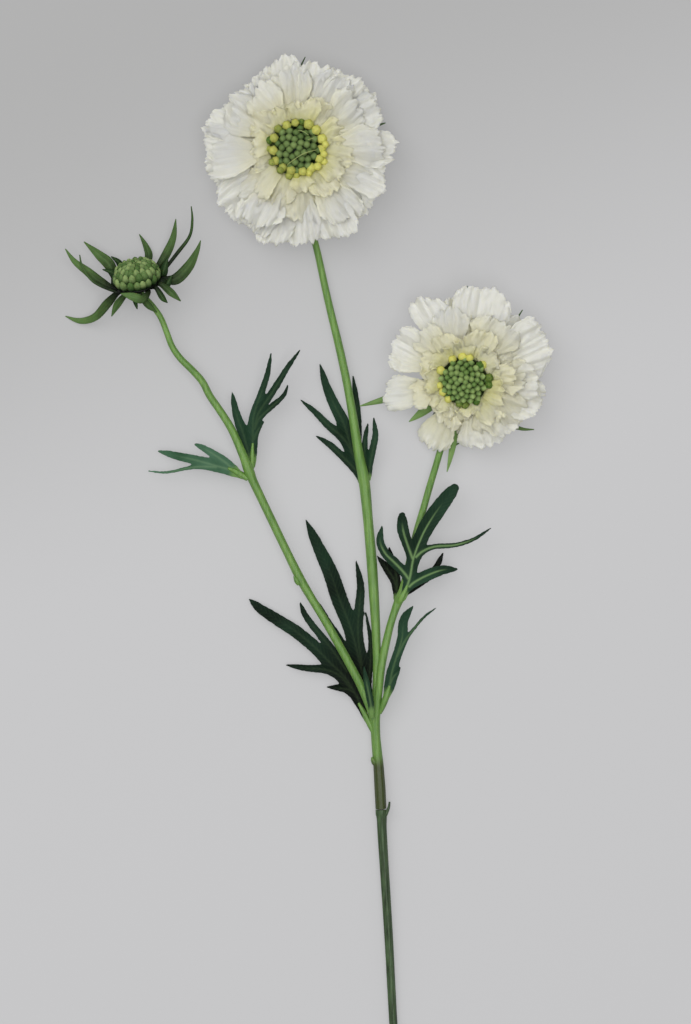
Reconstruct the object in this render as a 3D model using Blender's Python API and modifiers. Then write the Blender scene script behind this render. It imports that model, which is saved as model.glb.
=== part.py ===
"""A white scabiosa spray: one cut stem with two open blooms, a bud and ten cut leaves, lying on a surface.

The spray lies on z = 0 with its stem along Y. Sizes below are in millimetres, and MM turns them to metres.
"""

import math

import bmesh
import bpy
from mathutils import Matrix, Vector

MM = 0.001

# Thicknesses of the thin pieces
LEAF_THICK = 0.7
BRACT_THICK = 0.75
PETAL_THICK = 0.7

# The blooms: centre on the surface, height of the plate that carries the petals, and lean of the face
TOP_CENTRE = (-4.0, 189.4)
TOP_LEAN = (0.0, 0.0)
RIGHT_CENTRE = (65.4, 93.2)
RIGHT_LEAN = (-2.0, -7.0)
CALYX_FOOT_Z = 11.3
CALYX_TOP_Z = 16.7
PLATE_Z = 17.0
PLATE_TOP_Z = 19.4
PLATE_RADIUS = 13.2
DISC_Z = 19.7
SEAT_GAP = 0.3

# The bud: centre of its rim and the direction that it faces
BUD_CENTRE = (-70.5, 134.6, 13.0)
BUD_AXIS = (-0.17, 0.85, 0.50)
BUD_RADIUS = 8.2
BUD_FOOT_RADIUS = 6.6

# Stem routes: x, y, z of the middle and the radius there
STEM_LOWER = [
    (39.45, -228.2, 1.66, 1.70), (36.3, -179.1, 2.2, 1.70), (34.1, -138.8, 3.0, 1.80),
    (31.6, -99.3, 4.0, 1.95), (31.25, -90.6, 4.3, 2.10), (31.15, -88.6, 4.35, 2.45),
    (31.1, -86.6, 4.4, 2.50),
]
STUB = [(32.4, -89.4, 4.7, 1.6), (34.2, -86.4, 5.1, 1.2), (34.6, -83.2, 5.8, 0.9)]
STUB_THICK = 1.3
STEM_MAIN = [
    (31.05, -86.2, 4.42, 2.15), (30.6, -77.4, 4.8, 2.20), (30.0, -68.2, 5.1, 2.05),
    (29.4, -62.3, 5.5, 1.95), (28.8, -55.2, 6.0, 1.85), (28.6, -46.8, 6.6, 1.90),
    (29.1, -36.3, 7.2, 1.65), (29.3, -23.7, 7.6, 1.60), (28.9, -11.2, 7.8, 1.75),
    (28.2, 1.4, 7.8, 1.95), (27.1, 18.1, 7.6, 2.05), (25.6, 34.9, 7.2, 1.95),
    (24.0, 50.8, 6.7, 2.20), (21.6, 63.3, 6.2, 1.95), (18.1, 85.1, 5.4, 1.65),
    (14.3, 104.0, 4.6, 1.60), (8.8, 127.1, 3.5, 1.45), (4.2, 148.1, 2.4, 1.32),
    (0.6, 160.8, 1.7, 1.32), (-2.1, 170.9, 1.3, 1.35), (-3.4, 178.5, 1.6, 1.45),
    (-3.9, 184.8, 3.0, 1.60), (-4.0, 188.6, 6.2, 1.80), (-4.0, 189.4, 8.8, 1.90),
    (-4.0, 189.4, 11.0, 1.90),
]
STEM_LEFT = [
    (28.7, -53.1, 6.4, 1.40), (27.3, -46.3, 7.2, 1.60), (25.2, -40.5, 8.0, 1.65),
    (22.2, -33.7, 8.8, 1.65), (18.5, -26.6, 9.4, 1.65), (13.9, -18.2, 9.8, 1.65),
    (8.0, -7.8, 10.0, 1.62), (2.2, 1.8, 10.0, 1.62), (-2.9, 10.6, 10.0, 1.75),
    (-8.3, 21.5, 10.0, 1.62), (-13.3, 31.9, 10.0, 1.62), (-18.7, 43.2, 10.2, 1.65),
    (-22.5, 51.2, 10.4, 1.75), (-24.0, 54.9, 10.5, 2.05), (-26.7, 62.0, 10.6, 1.70),
    (-31.1, 72.1, 10.8, 1.55), (-35.9, 80.0, 10.8, 1.50), (-40.5, 86.7, 10.6, 1.45),
    (-43.6, 92.6, 10.4, 1.42), (-47.6, 97.2, 10.2, 1.38), (-53.0, 102.6, 10.0, 1.32),
    (-56.4, 107.6, 9.8, 1.25), (-58.5, 113.1, 9.6, 1.18), (-61.0, 119.3, 9.3, 1.15),
    (-64.2, 124.0, 8.9, 1.15), (-67.2, 127.3, 8.9, 1.20), (-69.4, 129.7, 10.1, 1.35),
    (-69.75, 131.0, 10.9, 1.40),
]
STEM_RIGHT = [
    (29.0, -49.7, 6.6, 1.45), (29.6, -40.5, 7.8, 1.60), (30.3, -34.2, 8.6, 1.62),
    (31.1, -27.0, 9.1, 1.62), (32.5, -19.5, 9.2, 1.60), (34.6, -10.3, 9.3, 1.50),
    (36.5, -4.0, 9.4, 1.50), (38.5, 1.4, 9.5, 1.75), (40.2, 6.0, 9.5, 1.50),
    (41.9, 13.1, 9.2, 1.42), (44.0, 22.3, 8.8, 1.40), (46.5, 31.9, 8.2, 1.40),
    (49.0, 40.3, 7.4, 1.38), (51.6, 49.5, 6.4, 1.35), (53.9, 57.1, 5.3, 1.32),
    (56.0, 64.2, 4.2, 1.30), (58.3, 71.8, 3.0, 1.28), (60.7, 79.3, 1.9, 1.28),
    (62.8, 84.5, 1.3, 1.30), (64.4, 89.4, 2.0, 1.40), (65.2, 92.0, 4.6, 1.60),
    (65.5, 93.3, 8.0, 1.80), (65.6, 93.9, 10.3, 1.90),
]

# Leaves: each lobe is a route of x, y, z and width, from its foot to its tip
LEAF_FORK_BACK = [
    [(28.3, -50.6, 3.6, 1.8), (24.8, -36.4, 2.9, 4.6), (21.8, -23.9, 2.5, 7.6), (16.8, -9.6, 2.3, 8.0),
     (13.0, 2.1, 2.5, 6.8), (9.7, 12.6, 3.1, 6.0), (4.6, 24.0, 4.0, 4.4), (-0.4, 34.9, 5.4, 0.8)],
    [(23.1, -27.2, 2.6, 3.0), (21.0, -13.0, 2.5, 4.6), (21.8, -1.2, 2.8, 4.0), (22.5, 7.2, 3.3, 3.0),
     (20.6, 17.7, 4.4, 0.8)],
    [(23.1, -32.2, 2.8, 2.6), (16.0, -17.6, 2.8, 4.4), (10.9, -8.3, 3.1, 4.4), (4.6, -0.4, 3.7, 3.2),
     (-3.7, 8.5, 4.8, 0.8)],
    [(25.6, -36.4, 3.0, 1.6), (26.7, -23.9, 2.6, 2.6), (26.7, -15.5, 2.4, 1.8), (24.8, -4.1, 2.6, 0.8)],
]
LEAF_FORK_LEFT = [
    [(25.9, -50.8, 4.85, 1.6), (18.9, -36.4, 4.9, 5.0), (13.4, -27.6, 4.9, 8.0), (6.3, -17.9, 5.1, 6.0),
     (-2.1, -10.8, 5.3, 5.2), (-13.4, -3.7, 5.0, 4.2), (-24.3, 1.7, 3.6, 0.8)],
    [(13.9, -28.8, 5.1, 3.2), (9.7, -22.1, 5.4, 3.4), (4.7, -15.4, 5.8, 3.0), (0.0, -7.9, 6.0, 2.2),
     (-2.9, 0.5, 6.2, 0.8)],
    [(18.9, -36.4, 4.9, 4.0), (13.9, -30.5, 4.7, 4.2), (7.6, -27.6, 4.5, 3.4), (-0.8, -27.2, 4.1, 2.6),
     (-8.8, -25.9, 3.4, 0.8)],
    [(22.2, -40.6, 4.9, 3.0), (18.9, -36.8, 4.6, 3.2), (13.9, -35.6, 4.3, 2.6), (8.4, -35.2, 3.8, 0.8)],
]
LEAF_FORK_FRONT = [
    [(27.2, -47.4, 9.5, 1.6), (26.6, -41.2, 10.4, 2.6), (25.2, -34.1, 11.2, 2.4), (23.9, -26.5, 11.6, 0.8)],
]
LEAF_FORK_RIGHT = [
    [(32.7, -40.8, 8.0, 2.0), (34.6, -34.6, 8.4, 4.2), (35.6, -28.7, 8.9, 4.4), (37.7, -21.6, 9.6, 3.6),
     (39.8, -14.5, 10.2, 4.0), (40.6, -6.9, 10.8, 3.6), (44.4, -1.1, 11.2, 0.8)],
    [(37.3, -22.8, 9.4, 1.8), (41.0, -15.7, 9.9, 1.4), (44.4, -11.1, 10.2, 1.2), (49.0, -5.7, 10.4, 1.0),
     (54.0, -1.9, 10.4, 0.8)],
    [(34.4, -34.6, 8.3, 2.6), (36.0, -31.2, 7.9, 2.8), (39.0, -27.1, 7.3, 0.8)],
]
LEAF_LEFT_OUTER = [
    [(-27.1, 53.2, 9.4, 2.4), (-32.1, 55.8, 9.1, 4.6), (-39.3, 57.9, 8.8, 4.8), (-46.8, 60.0, 8.2, 3.8),
     (-55.2, 61.9, 7.2, 3.0), (-62.4, 63.8, 5.8, 0.8)],
    [(-30.5, 55.8, 9.3, 3.2), (-34.2, 59.1, 9.5, 3.8), (-39.2, 62.5, 9.4, 3.2), (-43.4, 65.0, 9.0, 2.4),
     (-47.2, 66.7, 8.6, 0.8)],
    [(-37.0, 57.0, 8.7, 1.6), (-44.7, 57.2, 8.0, 1.8), (-49.8, 56.6, 7.3, 1.4), (-55.2, 55.4, 6.4, 1.1),
     (-60.3, 54.8, 5.4, 0.9), (-66.6, 55.4, 4.6, 0.8)],
]
LEAF_LEFT_UPPER = [
    [(-22.9, 57.6, 8.1, 2.6), (-22.7, 65.0, 8.1, 4.4), (-22.3, 74.6, 8.6, 4.6), (-20.4, 83.4, 9.4, 3.4),
     (-17.7, 90.1, 10.2, 3.0), (-16.6, 97.1, 11.0, 2.4), (-14.5, 104.2, 12.2, 0.8)],
    [(-22.3, 68.3, 8.2, 2.8), (-20.9, 76.7, 8.4, 3.4), (-17.5, 84.6, 9.0, 3.6), (-12.9, 91.7, 9.8, 3.2),
     (-7.9, 98.4, 10.6, 2.4), (-2.8, 105.9, 11.6, 0.8)],
    [(-21.3, 74.6, 8.3, 1.8), (-18.8, 80.1, 8.4, 2.2), (-14.6, 83.4, 8.7, 2.0), (-11.2, 87.2, 9.2, 1.6),
     (-8.3, 93.0, 9.6, 0.8)],
    [(-23.4, 60.1, 8.0, 2.2), (-25.1, 66.3, 7.5, 4.4), (-27.6, 73.8, 7.1, 4.2), (-29.9, 80.9, 7.3, 3.0),
     (-31.3, 88.4, 8.2, 0.8)],
    [(-22.5, 68.3, 8.2, 1.2), (-20.4, 72.5, 8.8, 1.0), (-18.1, 75.9, 9.6, 0.8)],
]
LEAF_MID_LEFT = [
    [(22.9, 50.4, 3.7, 2.2), (21.0, 57.9, 2.8, 4.2), (18.3, 66.3, 2.3, 5.6), (15.1, 76.0, 2.2, 5.2),
     (11.3, 83.5, 2.8, 4.4), (8.0, 91.5, 3.8, 3.2), (5.5, 100.2, 5.4, 0.8)],
    [(20.6, 59.2, 2.7, 3.0), (17.6, 65.9, 2.5, 4.0), (14.3, 70.1, 2.8, 3.8), (8.8, 74.7, 3.6, 3.2),
     (3.4, 80.1, 4.6, 2.4), (-2.5, 85.1, 5.6, 0.8)],
    [(21.8, 54.2, 3.0, 2.6), (19.7, 56.7, 3.0, 3.2), (15.1, 61.3, 3.4, 3.0), (9.7, 66.3, 4.2, 2.6),
     (3.8, 70.1, 5.0, 0.8)],
    [(21.0, 59.2, 2.4, 2.6), (21.2, 68.4, 2.0, 3.4), (21.2, 77.7, 1.8, 3.2), (20.4, 87.3, 1.9, 2.2),
     (19.3, 95.3, 2.4, 0.8)],
]
LEAF_MID_RIGHT = [
    [(27.6, 50.6, 5.4, 1.8), (27.4, 57.9, 6.0, 3.4), (28.1, 64.6, 6.8, 3.8), (28.9, 70.9, 7.4, 3.0),
     (27.7, 78.0, 8.0, 0.8)],
    [(27.4, 53.0, 5.2, 1.8), (26.0, 60.4, 4.2, 3.0), (25.2, 65.5, 4.0, 3.2), (25.3, 70.9, 4.4, 2.4),
     (26.4, 76.8, 5.2, 0.8)],
]
LEAF_RIGHT_MAIN = [
    [(40.2, 2.2, 11.9, 2.0), (43.1, 11.1, 12.3, 3.6), (44.6, 19.0, 12.5, 4.4), (48.1, 28.2, 12.3, 5.2),
     (52.3, 35.7, 12.0, 5.6), (57.7, 43.2, 11.4, 5.0), (61.0, 47.3, 10.9, 3.6), (62.6, 49.4, 10.6, 1.2)],
    [(44.4, 18.2, 12.6, 2.8), (42.1, 24.4, 12.8, 3.4), (40.2, 30.7, 12.8, 4.0), (39.8, 35.6, 12.5, 3.0),
     (39.9, 37.6, 12.4, 1.0)],
    [(42.9, 9.8, 12.4, 2.6), (40.0, 13.6, 12.2, 3.2), (36.4, 17.3, 11.8, 3.4), (32.7, 21.1, 11.4, 3.0),
     (30.6, 26.1, 11.2, 2.6), (31.4, 32.4, 11.4, 0.8)],
    [(44.8, 18.6, 12.5, 2.4), (48.5, 21.9, 12.2, 2.2), (53.6, 23.8, 11.6, 1.8), (61.9, 24.4, 10.4, 1.6),
     (69.9, 26.9, 9.4, 1.2), (77.0, 31.5, 8.6, 0.8)],
    [(42.3, 6.6, 12.0, 2.0), (45.2, 9.1, 11.8, 3.4), (50.6, 11.9, 11.2, 4.0), (56.5, 13.9, 10.4, 3.2),
     (63.2, 14.4, 9.4, 0.8)],
]
LEAF_RIGHT_BACK = [
    [(38.0, 0.6, 6.9, 2.0), (37.0, 8.5, 6.0, 3.2), (34.0, 13.9, 5.7, 3.4), (29.4, 19.8, 5.4, 0.8)],
    [(38.0, 2.0, 6.9, 2.0), (37.4, 11.8, 6.2, 3.0), (35.6, 18.1, 6.3, 2.6), (34.4, 23.6, 7.0, 0.8)],
    [(38.6, 2.4, 6.8, 2.0), (45.3, 7.2, 6.0, 3.2), (51.6, 11.8, 5.9, 3.2), (54.9, 16.4, 6.1, 2.4),
     (57.0, 21.1, 6.4, 0.8)],
]

# Petals of the top bloom: direction in degrees, reach, width, height of the tip, sideways bend
TOP_OUTER = [
    (102, 37, 18, 14.7, 0), (70, 35, 17, 17.6, 1), (45, 38, 17, 15.3, 0), (24, 38, 16, 17.2, 1),
    (1, 40, 15, 15.0, 0), (-19, 37, 15, 18.0, -1), (-42, 38, 17, 14.7, 0), (-69, 40, 18, 17.6, 1),
    (-90, 38, 16, 15.3, 0), (-108, 41, 15, 17.2, 0), (-124, 39, 16, 15.0, 0), (-144, 40, 17, 18.0, 1),
    (-166, 38, 15, 14.7, 0), (174, 37, 13, 17.6, 0), (160, 38, 11, 15.3, 0), (139, 34, 17, 17.2, -1),
    (122, 33, 12, 15.0, 0),
]
TOP_INNER = [
    (85, 30, 14, 20.8, 0), (45, 29, 14, 23.0, 0), (8, 31, 15, 21.6, 0), (-40, 28, 16, 22.6, 0),
    (-84, 32, 16, 21.2, 0), (-122, 28, 14, 23.4, 0), (-158, 31, 13, 20.8, 0), (176, 20, 10, 23.0, 0),
    (145, 31, 14, 21.6, 0), (112, 23, 12, 22.6, 0), (68, 20, 11, 21.2, 0),
]
# Petals of the right bloom
RIGHT_OUTER = [
    (75, 39, 23, 18.6, 0), (111, 37, 14, 17.4, 2), (97, 34, 8, 15.0, 0), (151, 34, 18, 17.0, 0),
    (-168, 33, 13, 15.4, 0), (-115, 31, 14, 11.6, 0), (-92, 23, 6, 14.0, 0), (-71, 29, 20, 15.2, 0),
    (-18, 34, 16, 16.6, 0), (-42, 27, 14, 18.4, 0), (-1, 29, 12, 18.8, 0), (24, 38, 23, 17.2, 0),
]
RIGHT_INNER = [
    (55, 28, 18, 23.6, 0), (102, 31, 13, 22.6, 0), (127, 25, 12, 23.4, 0), (-164, 20, 9, 22.8, 0),
    (172, 19, 9, 23.8, 0), (-118, 18, 11, 21.4, 0), (-60, 21, 10, 21.6, 0), (0, 21, 10, 22.6, 0),
]

# Bracts below each bloom: direction in degrees, reach, width, height of the tip
TOP_BRACTS = [
    (86, 39, 2.6, 12.4), (12, 38, 3.0, 12.6), (50, 33, 3.4, 9.4), (-28, 34, 3.2, 9.2), (-62, 32, 3.4, 9.6),
    (-128, 34, 3.4, 9.4), (-162, 33, 3.2, 9.0), (158, 33, 3.4, 9.4), (122, 31, 3.2, 9.6),
]
RIGHT_BRACTS = [
    (-165, 45, 3.6, 11.0), (-142, 29, 3.8, 14.0), (-99, 40, 2.6, 9.4), (-64, 32, 2.4, 8.4),
    (-37, 37, 2.8, 8.6), (8, 32, 3.2, 8.8), (49, 39, 2.6, 12.6), (88, 38, 2.6, 12.4), (138, 30, 3.2, 11.4),
]

# Bracts of the bud: angle of the foot round the rim, width there, then x, y, z and width on to the tip
BUD_BRACTS = [
    (185, 2.4, [(-86.6, 134.6, 13.6, 3.6), (-91.5, 138.6, 13.6, 3.2), (-96.9, 142.8, 14.2, 2.4),
                (-100.7, 148.0, 15.4, 0.8)]),
    (207, 1.3, [(-88.5, 134.0, 16.0, 1.2), (-93.4, 140.3, 16.4, 1.0), (-94.6, 145.4, 17.0, 0.8)]),
    (150, 2.6, [(-82.5, 141.5, 8.6, 4.4), (-87.0, 145.8, 9.0, 3.6), (-93.2, 151.2, 10.0, 0.8)]),
    (78, 2.4, [(-66.4, 145.0, 3.2, 3.0), (-67.4, 149.4, 3.6, 2.4), (-70.2, 154.6, 4.6, 0.8)]),
    (45, 2.4, [(-59.4, 145.4, 6.0, 3.4), (-56.0, 153.0, 7.2, 2.8), (-54.8, 160.8, 8.8, 0.8)]),
    (21, 1.5, [(-54.2, 146.4, 10.2, 1.5), (-49.0, 153.4, 11.4, 1.3), (-47.8, 160.0, 12.8, 1.1),
               (-48.2, 165.8, 14.2, 0.8)]),
    (-4, 2.6, [(-54.8, 135.4, 13.6, 4.4), (-49.4, 140.6, 14.2, 4.0), (-45.8, 147.0, 15.6, 2.2),
               (-44.2, 151.4, 16.6, 0.8)]),
    (-27, 2.4, [(-56.4, 129.6, 17.2, 3.2), (-52.6, 126.2, 15.2, 0.8)]),
    (-46, 2.2, [(-60.0, 127.4, 18.8, 2.6), (-58.0, 125.4, 17.6, 0.8)]),
    (-68, 2.2, [(-68.4, 126.8, 22.8, 3.2), (-72.6, 127.8, 23.6, 2.8), (-77.2, 129.0, 23.4, 0.8)]),
    (-90, 2.2, [(-66.0, 124.4, 19.8, 2.8), (-62.4, 121.4, 17.4, 0.8)]),
    (-108, 1.5, [(-71.2, 125.0, 19.6, 1.5), (-70.6, 122.8, 18.2, 0.8)]),
    (-127, 2.4, [(-79.0, 124.6, 17.0, 3.0), (-81.4, 119.8, 15.2, 0.8)]),
    (-152, 2.4, [(-83.2, 125.4, 12.4, 3.4), (-88.6, 120.0, 6.6, 3.0), (-95.0, 118.4, 2.2, 2.8),
                 (-101.4, 120.4, 0.8, 0.9)]),
]

# Florets: how many, and the size of each
TOP_FLORETS = 30
TOP_FLORET_RADIUS = 1.45
RIGHT_FLORETS = 34
RIGHT_FLORET_RADIUS = 1.6
BUD_FLORETS = 34
BUD_FLORET_RADIUS = 1.6
YELLOW_RADIUS = 1.45
YELLOW_RING_HEIGHT = 1.4
TOP_YELLOW_FROM_TO = (-180, 180, 24)
RIGHT_YELLOW_AT = (-150, -170, 150, 128, 104, 80, 42, 8, -16)

FLORET_SIDES = 5
FLAT_ANGLE = math.radians(0.4)
SHARP_ANGLE = math.radians(40)
GOLDEN_ANGLE = math.radians(137.508)


def new_material(name, colour, roughness):
    """A plain Principled material; the colour is a linear RGB triple."""
    material = bpy.data.materials.new(name)
    material.use_nodes = True
    shader = material.node_tree.nodes["Principled BSDF"]
    shader.inputs["Base Color"].default_value = (*colour, 1.0)
    shader.inputs["Roughness"].default_value = roughness
    shader.inputs["Metallic"].default_value = 0.0
    return material


def spline_point(p, q, r, s, t):
    """A point between q and r on the smooth curve through p, q, r and s."""
    out = []
    for a, b, c, d in zip(p, q, r, s):
        square = 2 * a - 5 * b + 4 * c - d
        cube = 3 * b - a - 3 * c + d
        out.append(0.5 * (2 * b + (c - a) * t + square * t * t + cube * t ** 3))
    return tuple(out)


def smooth_route(points, spacing):
    """Points about spacing apart on a smooth curve through the route's own points."""
    before = tuple(2 * a - b for a, b in zip(points[0], points[1]))
    after = tuple(2 * a - b for a, b in zip(points[-1], points[-2]))
    route = [before, *points, after]
    out = []
    for i in range(1, len(route) - 2):
        length = (Vector(route[i + 1][:3]) - Vector(route[i][:3])).length
        steps = max(1, round(length / spacing))
        for k in range(steps):
            out.append(spline_point(route[i - 1], route[i], route[i + 1], route[i + 2], k / steps))
    return out + [tuple(points[-1])]


def link(name, mesh):
    obj = bpy.data.objects.new(name, mesh)
    bpy.context.scene.collection.objects.link(obj)
    return obj


def evaluated_mesh(obj):
    """A copy of the object's mesh with its modifiers applied."""
    bpy.context.view_layer.update()
    graph = bpy.context.evaluated_depsgraph_get()
    return bpy.data.meshes.new_from_object(obj.evaluated_get(graph), depsgraph=graph).copy()


def as_mesh(obj):
    """The object as a plain mesh object with its caps welded; the first object is removed."""
    name = obj.name
    mesh = evaluated_mesh(obj)
    matrix = obj.matrix_world.copy()
    bpy.data.objects.remove(obj, do_unlink=True)
    edit = bmesh.new()
    edit.from_mesh(mesh)
    bmesh.ops.remove_doubles(edit, verts=edit.verts, dist=0.00001)
    bmesh.ops.recalc_face_normals(edit, faces=edit.faces)
    edit.to_mesh(mesh)
    edit.free()
    made = link(name, mesh)
    made.matrix_world = matrix
    return made


def tube(name, route, spacing):
    """A stem as a curve with its radius at each point, turned to a mesh."""
    points = smooth_route(route, spacing)
    curve = bpy.data.curves.new(name, "CURVE")
    curve.dimensions = "3D"
    curve.bevel_depth = MM
    curve.bevel_resolution = 2
    curve.use_fill_caps = True
    spline = curve.splines.new("POLY")
    spline.points.add(len(points) - 1)
    for target, (x, y, z, radius) in zip(spline.points, points):
        target.co = (x * MM, y * MM, z * MM, 1.0)
        target.radius = radius
    return as_mesh(link(name, curve))


def sheet(name, cells_along, cells_across, thickness, place):
    """A thin blade: place(u, v) gives the middle of the sheet in mm, u from foot to tip, v from -1 to 1."""
    edit = bmesh.new()
    bmesh.ops.create_grid(edit, x_segments=cells_along, y_segments=cells_across, size=1.0)
    for vertex in edit.verts:
        u = (vertex.co.x + 1) / 2
        vertex.co = Vector(place(u, vertex.co.y)) * MM
    bmesh.ops.triangulate(edit, faces=edit.faces, quad_method="FIXED")
    mesh = bpy.data.meshes.new(name)
    edit.to_mesh(mesh)
    edit.free()
    obj = link(name, mesh)
    solidify = obj.modifiers.new("Thickness", "SOLIDIFY")
    solidify.thickness = thickness * MM
    solidify.offset = 0.0
    return as_mesh(obj)


def blade(name, route, thickness, cells, arch=0.12):
    """A lobe, leaf or bract along a route of x, y, z and width, a little arched across."""
    points = smooth_route(route, 1.0)

    def at(u):
        k = min(u * (len(points) - 1), len(points) - 1.001)
        i = int(k)
        return [a + (b - a) * (k - i) for a, b in zip(points[i], points[i + 1])]

    def place(u, v):
        x, y, z, width = at(u)
        ahead = Vector(at(min(1.0, u + 0.03))[:3]) - Vector(at(max(0.0, u - 0.03))[:3])
        side = Vector((-ahead.y, ahead.x, 0.0)).normalized()
        centre = Vector((x, y, z)) + side * (v * width / 2)
        centre.z -= arch * width * (v * v - 0.5)
        return centre

    return sheet(name, cells, 2, thickness, place)


def keep_largest(mesh):
    """Drops loose scraps and sealed hollows: only the largest body stays."""
    edit = bmesh.new()
    edit.from_mesh(mesh)
    bmesh.ops.remove_doubles(edit, verts=edit.verts, dist=0.0000002)
    bmesh.ops.dissolve_degenerate(edit, edges=edit.edges, dist=0.0000002)
    left = set(edit.verts)
    bodies = []
    while left:
        start = left.pop()
        body = {start}
        front = [start]
        while front:
            vertex = front.pop()
            for edge in (e for e in vertex.link_edges if len(e.link_faces) == 2):
                other = edge.other_vert(vertex)
                if other not in body:
                    body.add(other)
                    front.append(other)
        left -= body
        bodies.append(body)
    bodies.sort(key=len)
    for body in bodies[:-1]:
        bmesh.ops.delete(edit, geom=list(body), context="VERTS")
    bmesh.ops.dissolve_limit(edit, angle_limit=FLAT_ANGLE, verts=edit.verts, edges=edit.edges)
    bmesh.ops.triangulate(edit, faces=edit.faces)
    edit.to_mesh(mesh)
    edit.free()


def fuse(base, others):
    """Joins the others to the base in one Boolean union on a collection, and removes them."""
    if not others:
        return base
    joined = bpy.data.collections.new(base.name + "_repeats")
    bpy.context.scene.collection.children.link(joined)
    for obj in others:
        bpy.context.scene.collection.objects.unlink(obj)
        joined.objects.link(obj)
    union = base.modifiers.new("Union", "BOOLEAN")
    union.operation = "UNION"
    union.operand_type = "COLLECTION"
    union.collection = joined
    mesh = evaluated_mesh(base)
    name = base.name
    bpy.data.objects.remove(base, do_unlink=True)
    for obj in others:
        bpy.data.objects.remove(obj, do_unlink=True)
    bpy.data.collections.remove(joined)
    keep_largest(mesh)
    return link(name, mesh)


def turned(name, profile, segments):
    """A solid of revolution about Z: profile points of radius and height in mm run down the outer side."""
    edit = bmesh.new()
    last = None
    for radius, height in profile:
        vertex = edit.verts.new((radius * MM, 0.0, height * MM))
        if last:
            edit.edges.new((last, vertex))
        last = vertex
    mesh = bpy.data.meshes.new(name)
    edit.to_mesh(mesh)
    edit.free()
    obj = link(name, mesh)
    screw = obj.modifiers.new("Turn", "SCREW")
    screw.steps = segments
    screw.render_steps = segments
    screw.use_merge_vertices = True
    screw.merge_threshold = 0.0001
    return as_mesh(obj)


def dome_profile(radius, height, foot, rings):
    """From the top of a dome down its side to a flat foot."""
    points = [
        (radius * math.sin(k * math.pi / 2 / rings), foot + height * math.cos(k * math.pi / 2 / rings))
        for k in range(rings + 1)
    ]
    return points + [(0.0, foot)]


def floret(name, centre, radius, stretch, outward):
    """One small closed floret, a few-sided ball drawn out along its own direction."""
    edit = bmesh.new()
    bmesh.ops.create_uvsphere(edit, u_segments=FLORET_SIDES, v_segments=3, radius=radius * MM)
    turn = Vector((0, 0, 1)).rotation_difference(outward).to_matrix()
    for vertex in edit.verts:
        vertex.co.z *= stretch
        vertex.co = turn @ vertex.co + Vector(centre) * MM
    mesh = bpy.data.meshes.new(name)
    edit.to_mesh(mesh)
    edit.free()
    return link(name, mesh)


def florets_on_dome(count, radius, height, foot, size, stretch, lowest=0.97):
    """Florets spread over a dome by the golden angle, each pointing out of it."""
    made = []
    for k in range(count):
        sine = math.sqrt((k + 0.5) / count) * lowest
        turn = k * GOLDEN_ANGLE
        cosine = math.sqrt(1 - sine * sine)
        where = (radius * sine * math.cos(turn), radius * sine * math.sin(turn), foot + height * cosine)
        outward = Vector((sine * math.cos(turn), sine * math.sin(turn), cosine * 1.1 + 0.25))
        made.append(floret(f"floret_{k}", where, size, stretch, outward.normalized()))
    return made


def petal(name, spec, root, mid_rise, cells, phase):
    """One fan-shaped petal: a narrow claw that widens, folded along its length, with a toothed far edge."""
    direction, reach, width, tip_height, bend = spec
    root_radius, root_height = root
    turn = math.radians(direction)

    def place(u, v):
        claw = 0.24 + 0.76 * min(1.0, u / 0.72) ** 1.3
        column = round((v + 1) * cells[1] / 2)
        fold = 1 if (column + phase) % 2 else -1
        along = root_radius + (reach - root_radius) * u
        along -= 0.17 * width * v * v * u ** 3 - 0.5 * fold * u ** 4
        across = v * width / 2 * claw + bend * u * u
        height = root_height + (tip_height - root_height) * u + mid_rise * 4 * u * (1 - u)
        height += fold * 0.34 * u * (1.2 - 0.2 * u)
        return (
            along * math.cos(turn) - across * math.sin(turn),
            along * math.sin(turn) + across * math.cos(turn),
            height,
        )

    return sheet(name, cells[0], cells[1], PETAL_THICK, place)


def petals(name, outer, inner):
    """The plate with its two layers of petals, as one body."""
    plate = turned(
        name,
        [(0.0, PLATE_TOP_Z), (PLATE_RADIUS - 1.0, PLATE_TOP_Z), (PLATE_RADIUS, PLATE_TOP_Z - 0.7),
         (PLATE_RADIUS, PLATE_Z + 0.7), (PLATE_RADIUS - 1.5, PLATE_Z), (0.0, PLATE_Z)],
        18,
    )
    made = []
    for k, spec in enumerate(outer):
        upper = k % 2
        made.append(petal(f"outer_{k}", spec, (10.5, 17.5 + 1.1 * upper), -0.6 + 1.4 * upper, (4, 4), k))
    for k, spec in enumerate(inner):
        made.append(petal(f"inner_{k}", spec, (12.0, 18.6), 1.0 + 1.2 * (k % 2), (3, 4), k))
    return fuse(plate, made)


def calyx(name, bracts):
    """The green cup under the petals with its ring of narrow bracts."""
    cup = turned(
        name,
        [(0.0, CALYX_TOP_Z), (7.0, CALYX_TOP_Z), (7.4, CALYX_TOP_Z - 0.6), (6.2, 14.2),
         (4.0, 12.0), (3.0, CALYX_FOOT_Z), (0.0, CALYX_FOOT_Z)],
        12,
    )
    made = []
    for k, (direction, reach, width, tip_height) in enumerate(bracts):
        turn = math.radians(direction)
        route = [
            (radius * math.cos(turn), radius * math.sin(turn), height, wide)
            for radius, height, wide in [
                (4.6, 14.9, width * 0.8),
                (reach * 0.36, 12.8, width),
                (reach * 0.68, tip_height * 0.5 + 5.6, width * 0.9),
                (reach, tip_height, 0.8),
            ]
        ]
        made.append(blade(f"bract_{k}", route, BRACT_THICK, 4))
    return fuse(cup, made)


def disc(name, count, radius, height, size):
    """The green centre: a dome covered in florets."""
    dome = turned(name, dome_profile(radius, height, DISC_Z, 3), 10)
    made = florets_on_dome(count, radius, height, DISC_Z, size, 1.15, 0.93)
    return fuse(dome, made)


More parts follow.
